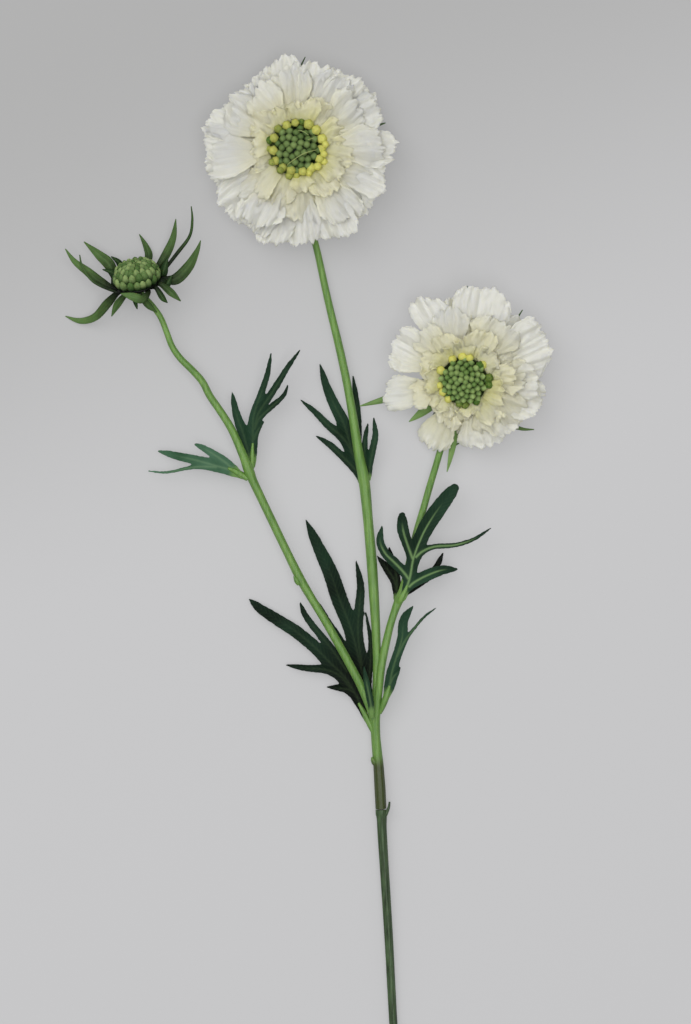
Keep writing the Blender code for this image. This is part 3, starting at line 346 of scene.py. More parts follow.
# The lobes of each leaf, each a route of x, y, z and width from foot to tip
LEAVES = {
    "leaf_fork_back": [
        [(28.3, -50.6, 3.6, 1.8), (24.8, -36.4, 2.9, 4.6), (21.9, -23.9, 2.5, 6.6), (18.4, -10.6, 2.3, 6.2),
         (13.6, 1.8, 2.5, 6.8), (9.9, 12.6, 3.1, 6.3), (4.6, 24.0, 4.0, 4.6), (-0.4, 34.9, 5.4, 0.8)],
        [(23.1, -27.2, 2.6, 3.0), (21.4, -13.0, 2.5, 4.0), (22.0, -1.2, 2.8, 3.8), (22.5, 7.2, 3.3, 3.0),
         (20.6, 17.7, 4.4, 0.8)],
        [(22.4, -32.2, 2.8, 2.6), (17.0, -22.4, 2.8, 3.6), (12.8, -14.8, 2.9, 4.0), (8.4, -8.2, 3.2, 3.8),
         (3.6, -0.4, 3.7, 3.2), (-3.7, 8.5, 4.8, 0.8)],
        [(25.6, -36.4, 3.0, 1.6), (26.7, -23.9, 2.6, 2.6), (26.7, -15.5, 2.4, 1.8), (24.8, -4.1, 2.6, 0.8)],
    ],
    "leaf_fork_left": [
        [(25.9, -50.8, 4.85, 1.6), (21.0, -39.5, 4.9, 4.4), (16.0, -31.2, 4.9, 5.6), (9.6, -24.8, 4.9, 5.4),
         (2.6, -17.8, 5.1, 5.2), (-5.0, -11.6, 5.2, 5.2), (-12.6, -6.8, 5.0, 4.8), (-19.4, -2.4, 4.4, 3.8),
         (-24.3, 1.7, 3.6, 0.8)],
        [(17.4, -29.4, 5.1, 3.0), (13.0, -22.8, 5.2, 3.4), (7.8, -16.0, 5.6, 3.2), (2.6, -9.6, 6.0, 2.8),
         (-0.9, -4.6, 6.1, 2.4), (-2.9, 0.5, 6.2, 0.8)],
        [(18.9, -36.4, 4.9, 4.0), (13.9, -30.5, 4.7, 4.0), (7.6, -27.8, 4.5, 3.4), (-0.8, -27.2, 4.1, 2.6),
         (-8.8, -25.9, 3.4, 0.8)],
        [(22.2, -40.6, 4.9, 3.0), (18.9, -36.8, 4.6, 3.2), (13.9, -35.6, 4.3, 2.6), (8.4, -35.2, 3.8, 0.8)],
    ],
    "leaf_fork_front": [
        [(27.2, -47.4, 9.5, 1.6), (26.6, -41.2, 10.4, 2.6), (25.2, -34.1, 11.2, 2.4), (23.9, -26.5, 11.6, 0.8)],
    ],
    "leaf_fork_right": [
        [(32.7, -40.8, 8.0, 2.0), (34.6, -34.6, 8.4, 4.2), (35.6, -28.7, 8.9, 4.4), (37.7, -21.6, 9.6, 3.6),
         (39.8, -14.5, 10.2, 4.0), (40.6, -6.9, 10.8, 3.6), (44.4, -1.1, 11.2, 0.8)],
        [(37.3, -22.8, 9.4, 1.8), (41.0, -15.7, 9.9, 1.4), (44.4, -11.1, 10.2, 1.2), (49.0, -5.7, 10.4, 1.0),
         (54.0, -1.9, 10.4, 0.8)],
        [(34.4, -34.6, 8.3, 2.6), (36.0, -31.2, 7.9, 2.8), (39.0, -27.1, 7.3, 0.8)],
    ],
    "leaf_left_outer": [
        [(-27.1, 53.2, 9.4, 2.4), (-32.1, 55.8, 9.1, 4.6), (-39.3, 57.9, 8.8, 4.8), (-46.8, 60.0, 8.2, 3.8),
         (-55.2, 61.9, 7.2, 3.0), (-62.4, 63.8, 5.8, 0.8)],
        [(-30.5, 55.8, 9.3, 3.2), (-34.2, 59.1, 9.5, 3.8), (-39.2, 62.5, 9.4, 3.2), (-43.4, 65.0, 9.0, 2.4),
         (-47.2, 66.7, 8.6, 0.8)],
        [(-37.0, 57.0, 8.7, 1.6), (-44.7, 57.2, 8.0, 1.8), (-49.8, 56.6, 7.3, 1.4), (-55.2, 55.4, 6.4, 1.1),
         (-60.3, 54.8, 5.4, 0.9), (-66.6, 55.4, 4.6, 0.8)],
    ],
    "leaf_left_upper": [
        [(-22.9, 57.6, 8.1, 2.6), (-22.7, 65.0, 8.1, 4.0), (-22.6, 72.6, 8.5, 4.2), (-22.4, 77.4, 9.0, 3.6),
         (-21.0, 82.8, 9.4, 2.9), (-19.0, 88.1, 10.0, 2.6), (-16.5, 95.7, 11.0, 2.2), (-14.9, 104.4, 12.2, 0.8)],
        [(-22.0, 72.0, 8.4, 2.4), (-20.7, 78.5, 8.6, 2.5), (-18.4, 82.6, 8.9, 2.6), (-15.6, 86.6, 9.3, 2.8),
         (-12.0, 92.2, 9.8, 2.6), (-8.2, 98.4, 10.6, 2.0), (-2.8, 105.9, 11.6, 0.8)],
        [(-21.8, 73.0, 8.2, 2.0), (-20.2, 77.0, 8.3, 2.2), (-17.6, 79.8, 8.4, 2.2), (-13.7, 83.2, 8.7, 2.2),
         (-9.7, 87.0, 9.2, 1.6), (-7.8, 91.4, 9.6, 0.8)],
        [(-23.6, 60.1, 8.0, 2.0), (-25.4, 66.5, 7.5, 3.8), (-26.9, 71.9, 7.2, 4.4), (-28.8, 76.8, 7.2, 3.6),
         (-30.2, 82.2, 7.5, 2.6), (-31.3, 88.4, 8.2, 0.8)],
        [(-22.5, 68.3, 8.2, 1.2), (-20.4, 72.5, 8.8, 1.0), (-18.1, 75.9, 9.6, 0.8)],
    ],
    "leaf_mid_left": [
        [(22.9, 50.4, 3.7, 2.2), (21.0, 57.9, 2.8, 4.2), (18.3, 66.3, 2.3, 5.6), (15.1, 76.0, 2.2, 5.2),
         (11.3, 83.5, 2.8, 4.4), (8.0, 91.5, 3.8, 3.2), (5.5, 100.2, 5.4, 0.8)],
        [(20.6, 59.2, 2.7, 3.0), (17.6, 65.9, 2.5, 4.0), (14.3, 70.1, 2.8, 3.8), (8.8, 74.7, 3.6, 3.2),
         (3.4, 80.1, 4.6, 2.4), (-2.5, 85.1, 5.6, 0.8)],
        [(21.8, 54.2, 3.0, 2.6), (19.7, 56.7, 3.0, 3.2), (15.1, 61.3, 3.4, 3.0), (9.7, 66.3, 4.2, 2.6),
         (3.8, 70.1, 5.0, 0.8)],
        [(21.0, 59.2, 2.4, 2.6), (21.2, 68.4, 2.0, 3.4), (21.2, 77.7, 1.8, 3.2), (20.4, 87.3, 1.9, 2.2),
         (19.3, 95.3, 2.4, 0.8)],
    ],
    "leaf_mid_right": [
        [(25.8, 52.0, 5.8, 1.6), (26.4, 57.9, 6.2, 2.4), (27.6, 64.2, 6.8, 2.7), (28.7, 70.5, 7.4, 2.4),
         (28.0, 77.8, 8.0, 0.8)],
        [(25.6, 53.6, 5.4, 1.6), (24.9, 58.6, 4.4, 2.2), (24.2, 63.4, 4.2, 2.2), (24.4, 69.4, 4.6, 1.9),
         (25.6, 75.4, 5.0, 0.8)],
    ],
    "leaf_right_main": [
        [(40.2, 2.2, 11.9, 2.0), (43.1, 11.1, 12.3, 3.6), (44.6, 19.0, 12.5, 4.4), (48.1, 28.2, 12.3, 5.2),
         (52.3, 35.7, 12.0, 5.6), (57.7, 43.2, 11.4, 5.0), (61.0, 47.3, 10.9, 3.6), (62.6, 49.4, 10.6, 1.2)],
        [(44.4, 18.2, 12.6, 2.8), (42.1, 24.4, 12.8, 3.4), (40.2, 30.7, 12.8, 4.0), (39.8, 35.6, 12.5, 3.0),
         (39.9, 37.6, 12.4, 1.0)],
        [(42.9, 9.8, 12.4, 2.6), (40.0, 13.6, 12.2, 3.2), (36.4, 17.3, 11.8, 3.4), (32.7, 21.1, 11.4, 3.0),
         (30.6, 26.1, 11.2, 2.6), (31.4, 32.4, 11.4, 0.8)],
        [(44.8, 18.6, 12.5, 2.4), (48.5, 21.9, 12.2, 2.2), (53.6, 23.8, 11.6, 1.8), (61.9, 24.4, 10.4, 1.6),
         (69.9, 26.9, 9.4, 1.2), (77.0, 31.5, 8.6, 0.8)],
        [(42.3, 6.6, 12.0, 2.0), (45.2, 9.1, 11.8, 3.4), (50.6, 11.9, 11.2, 4.0), (56.5, 13.9, 10.4, 3.2),
         (63.2, 14.4, 9.4, 0.8)],
    ],
    "leaf_right_back": [
        [(38.0, 0.6, 6.9, 2.0), (37.0, 8.5, 6.0, 3.2), (34.0, 13.9, 5.7, 3.4), (29.4, 19.8, 5.4, 0.8)],
        [(38.0, 2.0, 6.9, 2.0), (37.4, 11.8, 6.2, 3.0), (35.6, 18.1, 6.3, 2.6), (34.4, 23.6, 7.0, 0.8)],
        [(38.6, 2.4, 6.8, 2.0), (45.3, 7.2, 6.0, 3.2), (51.6, 11.8, 5.9, 3.2), (54.9, 16.4, 6.1, 2.4),
         (57.0, 21.1, 6.4, 0.8)],
    ],
}
LEAF_CELL, LEAF_MARGIN = 0.40, 4.0
LEAF_TIP_WIDTH = 0.3
LEAF_CLOTH = 0.40
SINUS_ROUNDING = 0.6
# A rib's half width, its height, and the share of its lobe's length at which it fades out
RIB_WIDTH, RIB_RAISE, RIB_END = 0.42, 0.16, 0.72
# The cut edge and the whole blade wander by this many mm, this many times a mm
EDGE_WOBBLE, EDGE_WAVES = 0.16, 0.9
LEAF_WOBBLE, LEAF_WAVES = 0.55, 0.11
# Sizes of the printed pattern: mottling, broad clouds, the spacing of side veins, and the weave, whose threads of
# 0.2 mm are drawn twice as coarse so that they show; and, for the painted shade that darkens a low leaf near its
# foot, how far from its foot the painted shade is darkest, and how far out it ends
LEAF_MOTTLE, LEAF_CLOUD, VEIN_SPACING, LEAF_WEAVE = 6.25, 29.41, 2.4, 0.4545
DARK_TO, DARK_END = 12.0, 56.0
# How each leaf looks: how far its halves fold up, how long its pale foot is, how pale its ribs are, and how much
# broader its lobes are drawn than their routes say
LEAF_LOOKS = {
    "leaf_fork_back": (0.18, 3.0, 0.08, 1.0), "leaf_fork_left": (0.16, 5.0, 0.08, 1.0),
    "leaf_fork_front": (0.3, 5.0, 0.5, 1.0), "leaf_fork_right": (0.22, 6.0, 0.30, 1.0),
    "leaf_left_outer": (0.24, 6.0, 0.35, 1.0), "leaf_left_upper": (0.2, 6.0, 0.12, 1.0),
    "leaf_mid_left": (0.16, 3.0, 0.1, 1.0), "leaf_mid_right": (0.16, 3.0, 0.1, 1.0),
    "leaf_right_main": (0.22, 4.0, 1.0, 1.2), "leaf_right_back": (0.15, 4.0, 0.1, 1.0),
}


def smooth_route(points, spacing):
    """Points about spacing apart on a smooth curve through the route's own points."""
    rows = [np.array(point, float) for point in points]
    rows = [2 * rows[0] - rows[1], *rows, 2 * rows[-1] - rows[-2]]
    out = []
    for p, q, r, s in zip(rows, rows[1:], rows[2:], rows[3:]):
        steps = max(1, round(float(np.linalg.norm((r - q)[:3])) / spacing))
        for t in np.arange(steps) / steps:
            out.append(0.5 * (2 * q + (r - p) * t + (2 * p - 5 * q + 4 * r - s) * t * t
                              + (3 * q - p - 3 * r + s) * t ** 3))
    out = np.array(out + [rows[-2]])
    # The last stretch keeps its width and then rounds in to the tip, as a leaf's lobe does
    share = np.linspace(0, 1, steps + 1) ** 1.7
    out[-steps - 1:, 3] = rows[-3][3] * (1 - share) + rows[-2][3] * share
    return out


def lobe_fields(route, spots):
    """How deep each spot lies inside one lobe, and the offset, length, height and half width there."""
    start, end = route[:-1], route[1:]
    step = end - start
    flat = step[:, :2]
    part = ((spots[:, None, :] - start[None, :, :2]) * flat).sum(2) / (flat * flat).sum(1)
    part = np.clip(part, 0, 1)
    at = start[None] + step[None] * part[:, :, None]
    away = spots[:, None, :] - at[:, :, :2]
    far = np.hypot(away[:, :, 0], away[:, :, 1])
    inside = at[:, :, 3] / 2 - far
    best = inside.argmax(1)
    rows = np.arange(len(spots))
    side = np.sign(flat[best, 0] * away[rows, best, 1] - flat[best, 1] * away[rows, best, 0])
    lengths = np.concatenate([[0.0], np.cumsum(np.hypot(flat[:, 0], flat[:, 1]))])
    along = lengths[best] + part[rows, best] * (lengths[best + 1] - lengths[best])
    chosen = at[rows, best]
    return inside[rows, best], side * far[rows, best], along, chosen[:, 2], along / lengths[-1]


def leaf_surface(lobes, spots):
    """The leaf's edge field, height, rib strength, and offset and length from the nearest rib, at each spot."""
    fields = []
    for lobe in lobes:
        pointed = [*lobe[:-1], (*lobe[-1][:3], LEAF_TIP_WIDTH)]
        fields.append(lobe_fields(smooth_route(pointed, 1.0), spots))
    inside, offset, along, height, share = (np.array(rows) for rows in zip(*fields))
    top = inside.max(0)
    pull = np.exp((inside - top) / SINUS_ROUNDING)
    edge = top + SINUS_ROUNDING * np.log(pull.sum(0)) * (top < 0.5)
    soft = np.exp((inside - top) / 1.0)
    soft /= soft.sum(0)
    level = (soft * height).sum(0)
    fold = (soft * np.abs(offset)).sum(0)
    ribs = np.exp(-((offset / (RIB_WIDTH * (1.15 - 0.75 * share))) ** 2)) * (inside > -0.2) * (share > 0.02)
    ribs *= np.clip((RIB_END - share) / 0.2 + 0.5, 0, 1)
    rib = ribs.max(0)
    nearest = inside.argmax(0)
    rows = np.arange(len(spots))
    return edge, level, fold, rib, offset[nearest, rows], along[nearest, rows]


def thickened(sheet, thickness):
    """Gives a sheet its thickness in mm, half of it on each side."""
    wall = sheet.modifiers.new("Sheet", "SOLIDIFY")
    wall.thickness = thickness * MM
    wall.offset = 0.0
    return sheet


def cut_leaf(name, lobes, material, seed, fold_up, foot_length, rib_tone, breadth):
    """One leaf: the outline of its lobes filled with fine cells, folded along each rib and a little waved."""
    lobes = [[(*point[:3], point[3] * breadth) for point in lobe] for lobe in lobes]
    route = np.array([point for lobe in lobes for point in lobe])
    low = route[:, :2].min(0) - LEAF_MARGIN
    count = np.ceil((route[:, :2].max(0) + LEAF_MARGIN - low) / LEAF_CELL).astype(int) + 1
    grid = np.stack(np.meshgrid(np.arange(count[0]), np.arange(count[1]), indexing="ij"), 2).reshape(-1, 2)
    spots = low + grid * LEAF_CELL
    edge = leaf_surface(lobes, spots)[0]
    edge = edge + [EDGE_WOBBLE * noise.noise((x * EDGE_WAVES, y * EDGE_WAVES, seed)) for x, y in spots]
    edge = edge.reshape(count)
    points, faces, known = [], [], {}

    def corner(i, j):
        key = (i, j)
        if key not in known:
            known[key] = len(points)
            points.append(low + np.array([i, j]) * LEAF_CELL)
        return known[key]

    def crossing(a, b):
        key = (min(a, b), max(a, b))
        if key not in known:
            share = float(np.clip(edge[a] / (edge[a] - edge[b]), 0.12, 0.88))
            known[key] = len(points)
            points.append(low + (np.array(a) * (1 - share) + np.array(b) * share) * LEAF_CELL)
        return known[key]

    for i in range(count[0] - 1):
        for j in range(count[1] - 1):
            square = [(i, j), (i + 1, j), (i + 1, j + 1), (i, j + 1)]
            within = [edge[c] > 0 for c in square]
            if not any(within):
                continue
            face = []
            for k in range(4):
                if within[k]:
                    face.append(corner(*square[k]))
                if within[k] != within[k - 3]:
                    face.append(crossing(square[k], square[k - 3]))
            faces.append(face)
    spots = np.array(points)
    _, level, fold, rib, offset, along = leaf_surface(lobes, spots)
    heights = level + fold_up * fold + RIB_RAISE * rib
    heights += [LEAF_WOBBLE * noise.noise((x * LEAF_WAVES, y * LEAF_WAVES, seed + 7.0)) for x, y in spots]
    mesh = bpy.data.meshes.new(name)
    mesh.from_pydata(np.column_stack([spots, heights]) * MM, [], faces)
    from_foot = np.hypot(spots[:, 0] - lobes[0][0][0], spots[:, 1] - lobes[0][0][1])
    mark(mesh, {
        "rib": rib * rib_tone, "foot": from_foot / foot_length, "from_foot": from_foot, "rib_offset": offset,
        "rib_length": along,
    })
    mesh.materials.append(material)
    mesh.shade_smooth()
    return thickened(into_scene(name, mesh), LEAF_CLOTH)


def leaf_finish(name, deep, mid, rib_colour, shaded):
    """Printed polyester leaf cloth: matt, mottled in two dark greens, pale at the foot and along the ribs; painted
    shade darkens the low leaves near their foot.
    """
    material, tree, shader = new_finish(name, Roughness=0.55, Specular_IOR_Level=0.07)
    place = add(tree, "ShaderNodeTexCoord").outputs["Object"]
    labels = ("rib", "rib_offset", "rib_length", "foot", "from_foot")
    read = [add(tree, "ShaderNodeAttribute", attribute_name=label) for label in labels]
    rib, offset, length, foot, from_foot = (Formula(tree, node.outputs["Fac"]) for node in read)
    # Side veins leave the midrib and run forward at a slant
    slant = (length - offset.then("ABSOLUTE") * 1.5) / VEIN_SPACING
    vein = ((slant.then("FRACT") - 0.5).then("ABSOLUTE") * 2.0) ** 7.0
    fine, wide = (per_metre(size) for size in (LEAF_MOTTLE, LEAF_CLOUD))
    mottle = Formula(tree, add(tree, "ShaderNodeTexNoise", {"Vector": place, "Scale": fine, "Detail": 4.0}))
    broad = Formula(tree, add(tree, "ShaderNodeTexNoise", {"Vector": place, "Scale": wide, "Detail": 2.0}))
    amount = mottle * 0.6 + broad * 1.6 - 0.72
    blade = add(tree, "ShaderNodeMix", {0: amount, 6: linear(deep), 7: linear(mid)}, data_type="RGBA")
    # Painted shade: a low leaf turns near black close to its foot, where the stems above it shade it
    near = add(tree, "ShaderNodeMapRange", {
        0: from_foot, 1: DARK_TO, 2: DARK_END, 3: shaded, 4: 0.0,
    }, interpolation_type="SMOOTHSTEP")
    near = add(tree, "ShaderNodeMix", {0: near, 6: blade.outputs[2], 7: linear("#010301")}, data_type="RGBA")
    veined = add(tree, "ShaderNodeMix", {0: vein * 0.05, 6: near.outputs[2], 7: linear(rib_colour)}, data_type="RGBA")
    ribbed = add(tree, "ShaderNodeMix", {0: rib * 0.8, 6: veined.outputs[2], 7: linear(rib_colour)}, data_type="RGBA")
    pale = Formula(tree, add(tree, "ShaderNodeMapRange", {
        0: foot + (mottle - 0.5) * 0.5, 1: 0.45, 2: 1.05, 3: 0.9, 4: 0.0,
    }, interpolation_type="SMOOTHSTEP"))
    footed = add(tree, "ShaderNodeMix", {0: pale, 6: ribbed.outputs[2], 7: linear("#6E9050")}, data_type="RGBA")
    tree.links.new(footed.outputs[2], shader.inputs["Base Color"])
    weave = add(tree, "ShaderNodeTexNoise", {"Vector": place, "Scale": per_metre(LEAF_WEAVE), "Detail": 1.0})
    height = vein * 0.3 + Formula(tree, weave) * 0.35
    bump = add(tree, "ShaderNodeBump", {"Height": height, "Strength": 0.35, "Distance": 0.0003})
    tree.links.new(bump.outputs["Normal"], shader.inputs["Normal"])
    return material


# The low leaves under the stems get a darker copy of the cloth: its darker greens and near-black foot are painted
# shade
low_shaded_leaf_cloth = leaf_finish("printed_polyester_leaf_low_shaded", "#050F08", "#223D2C", "#7E9F66", 0.9)
leaf_cloth = leaf_finish("printed_polyester_leaf", "#0A1A0F", "#2B4A36", "#7E9F66", 0.0)
pale_leaf_cloth = leaf_finish("printed_polyester_leaf_pale", "#25482E", "#5C8268", "#86A47A", 0.0)
LOW_LEAVES = ("leaf_fork_back", "leaf_fork_left", "leaf_right_back")
for seed, (node, lobes) in enumerate(LEAVES.items()):
    cloth = pale_leaf_cloth if node == "leaf_left_outer" else low_shaded_leaf_cloth if node in LOW_LEAVES else leaf_cloth
    fit(cut_leaf("cut_" + node, lobes, cloth, 3.7 * seed, *LEAF_LOOKS[node]), node)

# The petals of the two open blooms are cut from thin white polyester satin and pressed hot, which leaves them
# fluted from the claw to a ruffled, finely toothed edge. Their claws are glued to a small plate in three layers.

# Where the middle of each bloom is in X and Y, and how many degrees it leans towards X and towards Y
BLOOMS = {"top": ((-4.0, 189.4), (0.0, 0.0)), "right": ((65.4, 93.2), (-2.0, -7.0))}
PLATE_Z = 17.0
PLATE_PROFILE = [
    (0.0, 19.4), (11.2, 19.4), (12.2, 18.9), (12.2, PLATE_Z + 0.5), (11.2, PLATE_Z), (0.0, PLATE_Z),
]
ROUND_SIDES = 40
PETAL_CLOTH = 0.28
# The size of the clouds in the dye, in mm, and how many ridges are pressed along a petal for each mm across it
DYE_CLOUD, RIDGES_PER_MM = 7.692, 1.7
# Each petal: direction in degrees, reach, width, height of the tip, sideways bend, rise in the middle,
# depth of its broad folds, depth of its pleats, how far a lengthwise crease lifts its sides, and how cream it is
TOP_OUTER = [
    (103, 38.5, 19, 15.4, 0, -0.4, 1.0, 0.42, 1.6, 0.0), (86, 35, 15, 17.2, 1, 0.4, 0.9, 0.30, 0.6, 0.15),
    (69, 36.5, 20, 18.6, 1, 0.9, 1.1, 0.50, -1.0, 0.1), (46, 39.5, 22, 16.0, 0, 0.2, 1.2, 0.52, 1.4, 0.0),
    (27, 38.5, 18, 17.8, 1, 0.8, 1.0, 0.34, -1.2, 0.1), (0, 41, 16, 15.6, 0, 0.4, 1.0, 0.36, 1.2, 0.0),
    (-18, 38.5, 18, 18.4, -1, 0.8, 1.1, 0.34, -0.8, 0.1), (-41, 39, 21, 15.4, 0, 0.0, 1.3, 0.44, 1.4, 0.0),
    (-66, 41, 21, 17.6, 1, 0.8, 1.2, 0.40, -0.6, 0.0), (-88, 39.5, 18, 15.6, 0, 0.2, 1.1, 0.34, 1.2, 0.1),
    (-106, 41, 16, 14.6, 0, 0.2, 0.9, 0.32, 0.6, 0.35), (-121, 39, 19, 17.0, 0, 0.7, 1.2, 0.40, 1.2, 0.0),
    (-143, 40, 20, 17.2, 1, 0.9, 1.2, 0.38, -1.0, 0.0), (-165, 38, 17, 14.8, 0, 0.0, 1.0, 0.36, 1.2, 0.45),
    (175, 38.5, 16, 17.6, 0, 0.7, 0.9, 0.30, 1.0, 0.0), (161, 40, 14, 15.6, 0, 0.4, 0.7, 0.55, 2.2, 0.4),
    (140, 35, 20, 17.6, -1, 0.8, 1.0, 0.36, -0.8, 0.0), (122, 34, 15, 15.4, 0, 0.2, 0.9, 0.34, 1.0, 0.1),
]
TOP_INNER = [
    (95, 33, 19, 18.6, 1, 1.3, 1.1, 0.34, 1.4, 0.55), (62, 37, 18, 19.6, -1, 1.6, 1.0, 0.44, -1.8, 0.2),
    (33, 32, 21, 18.4, 1, 1.9, 1.3, 0.30, 1.0, 0.35), (4, 36, 18, 18.8, -1, 1.5, 1.4, 0.26, 1.8, 0.3),
    (-27, 33, 20, 18.0, 1, 1.9, 1.3, 0.28, -2.0, 0.6), (-55, 37, 18, 19.4, 1, 1.4, 1.2, 0.30, 1.4, 0.4),
    (-84, 31, 22, 17.8, 0, 2.2, 0.8, 0.26, -2.6, 0.85), (-117, 36, 18, 19.6, -1, 1.4, 1.3, 0.34, 1.4, 0.15),
    (-144, 31, 19, 18.2, 1, 1.7, 1.2, 0.30, -1.2, 0.4), (-174, 36, 19, 19.0, 0, 1.4, 0.8, 0.24, 1.6, 0.2),
    (150, 35, 19, 18.2, -1, 1.8, 0.9, 0.30, -1.8, 0.35), (123, 30, 17, 20.2, 1, 1.5, 1.1, 0.32, 1.4, 0.3),
]
TOP_CURLED = [
    (104, 20, 12, 21.8, 0, 1.4, 1.0, 0.26, 1.2, 0.85), (80, 21, 15, 22.6, 0, 1.8, 0.6, 0.18, 2.4, 0.9),
    (52, 23, 12, 20.8, 1, 1.4, 1.2, 0.30, 1.2, 0.6), (24, 21, 12, 21.0, 0, 1.2, 1.0, 0.30, 1.4, 0.95),
    (-2, 23, 13, 20.6, -1, 1.2, 1.1, 0.30, 1.2, 0.95), (-30, 22, 12, 20.8, 0, 1.2, 1.2, 0.30, 1.0, 1.0),
    (-56, 24, 13, 20.6, 1, 1.2, 1.2, 0.30, 1.4, 0.9), (-82, 18, 11, 22.4, 0, 1.4, 0.8, 0.20, 2.6, 0.8),
    (-112, 25, 15, 20.6, 0, 1.8, 1.3, 0.24, -2.2, 0.7), (-139, 26, 14, 20.4, 1, 1.6, 1.0, 0.26, 1.4, 0.7),
    (-164, 20, 11, 21.0, 0, 1.2, 1.0, 0.28, 1.2, 0.7), (174, 19, 12, 22.4, 0, 1.8, 0.4, 0.10, 2.6, 0.75),
    (148, 23, 12, 21.0, -1, 1.2, 1.0, 0.30, 1.2, 0.5), (126, 20, 11, 21.6, 0, 1.2, 1.0, 0.30, 1.6, 0.7),
]
RIGHT_OUTER = [
    (76, 40, 25, 18.4, 0, 0.8, 0.8, 0.62, 0.6, 0.0), (113, 38, 17, 17.4, 2, 1.2, 0.9, 0.22, -2.4, 0.1),
    (97, 35, 9, 14.6, 0, 0.0, 0.6, 0.20, 0.6, 0.55), (152, 34, 20, 17.0, 0, 0.4, 1.0, 0.58, 1.2, 0.1),
    (-168, 34, 15, 15.0, 0, 0.6, 1.2, 0.34, 1.0, 0.1), (-116, 32.5, 15, 11.4, 0, 0.4, 0.7, 0.20, -2.4, 0.8),
    (-93, 22, 5, 13.6, 0, 0.2, 0.4, 0.20, 1.2, 0.3), (-71, 30.5, 21, 15.0, 0, 0.6, 1.0, 0.46, 0.8, 0.0),
    (-17, 34, 18, 16.4, 0, 0.6, 1.2, 0.36, 1.4, 0.0), (-43, 29, 17, 17.8, 0, 0.8, 1.2, 0.34, -1.0, 0.2),
    (0, 31, 15, 18.6, 0, 0.8, 1.1, 0.34, 1.0, 0.1), (25, 39, 26, 17.0, 0, 0.7, 0.9, 0.60, 0.8, 0.1),
    (49, 34, 18, 15.2, 0, 0.4, 0.9, 0.34, 0.6, 0.1),
]
RIGHT_INNER = [
    (57, 30, 23, 20.6, 0, 2.2, 0.9, 0.24, 2.2, 0.5), (103, 31, 16, 20.0, -1, 1.9, 0.8, 0.26, -1.8, 0.15),
    (82, 27, 14, 18.6, 0, 1.5, 0.9, 0.30, -1.2, 0.7), (129, 28, 14, 20.6, 1, 1.5, 1.0, 0.30, 1.2, 0.5),
    (-163, 22, 13, 20.2, 0, 1.2, 1.0, 0.26, 1.4, 0.4), (-116, 20, 15, 19.4, 0, 1.2, 1.5, 0.40, 1.0, 0.3),
    (-60, 24, 15, 19.0, 1, 1.4, 1.2, 0.30, 1.6, 0.4), (-27, 29, 18, 18.6, -1, 1.9, 1.2, 0.26, -2.0, 0.7),
    (2, 26, 15, 19.6, 1, 1.6, 1.2, 0.28, 1.4, 0.5), (30, 25, 13, 18.8, 0, 1.5, 1.0, 0.28, -1.2, 0.4),
]
RIGHT_CURLED = [
    (68, 23, 14, 23.0, 0, 1.4, 0.8, 0.26, 1.8, 0.8), (92, 17, 12, 23.4, 0, 1.0, 0.9, 0.28, -1.4, 0.7),
    (112, 22, 12, 22.6, 0, 1.4, 1.1, 0.32, 1.6, 0.7), (134, 17, 13, 23.0, 1, 0.8, 1.1, 0.32, 1.2, 0.8),
    (157, 20, 12, 22.0, 0, 1.2, 1.0, 0.30, -1.4, 0.75), (179, 16, 11, 22.8, 0, 0.8, 0.8, 0.26, 1.4, 0.8),
    (-158, 18, 11, 21.0, 0, 0.8, 1.0, 0.28, 1.2, 0.7), (-132, 15.5, 12, 21.4, 0, 0.6, 1.3, 0.36, 1.0, 0.6),
    (-104, 17, 14, 20.4, 0, 0.8, 1.5, 0.36, 1.2, 0.3), (-74, 15.5, 13, 21.0, 0, 0.6, 1.4, 0.36, 1.2, 0.4),
    (-48, 21, 14, 20.8, 0, 1.2, 1.2, 0.30, -1.4, 0.8), (-20, 18, 12, 22.0, 1, 1.0, 1.0, 0.28, 1.8, 0.9),
    (4, 22, 13, 21.4, 0, 1.4, 1.0, 0.28, 1.2, 0.7), (36, 18, 15, 23.2, 0, 1.0, 0.9, 0.26, -1.6, 0.6),
]
PETAL_TRAITS = ("turn", "reach", "width", "tip", "bend", "rise", "fold_depth", "pleat_depth", "crease", "cream",
                "root", "root_height", "seed")
# Each layer of petals: its name, its own sizes in the tree, the heights of its claws in turn, and its seed
PETAL_LAYERS = [
    ("_outer_petals", {}, (17.5, 18.6), 0.0),
    ("_inner_petals", {"Along": 24, "Across": 54, "Lobe Depth": 1.3}, (18.8, 19.2), 40.0),
    ("_curled_petals", {
        "Along": 16, "Across": 34, "Lobe Pitch": 3.2, "Tooth Depth": 0.5, "Ruffle": 1.7, "Crumple": 1.7,
        "Claw Width": 0.6,
    }, (20.4, 21.2), 80.0),
]


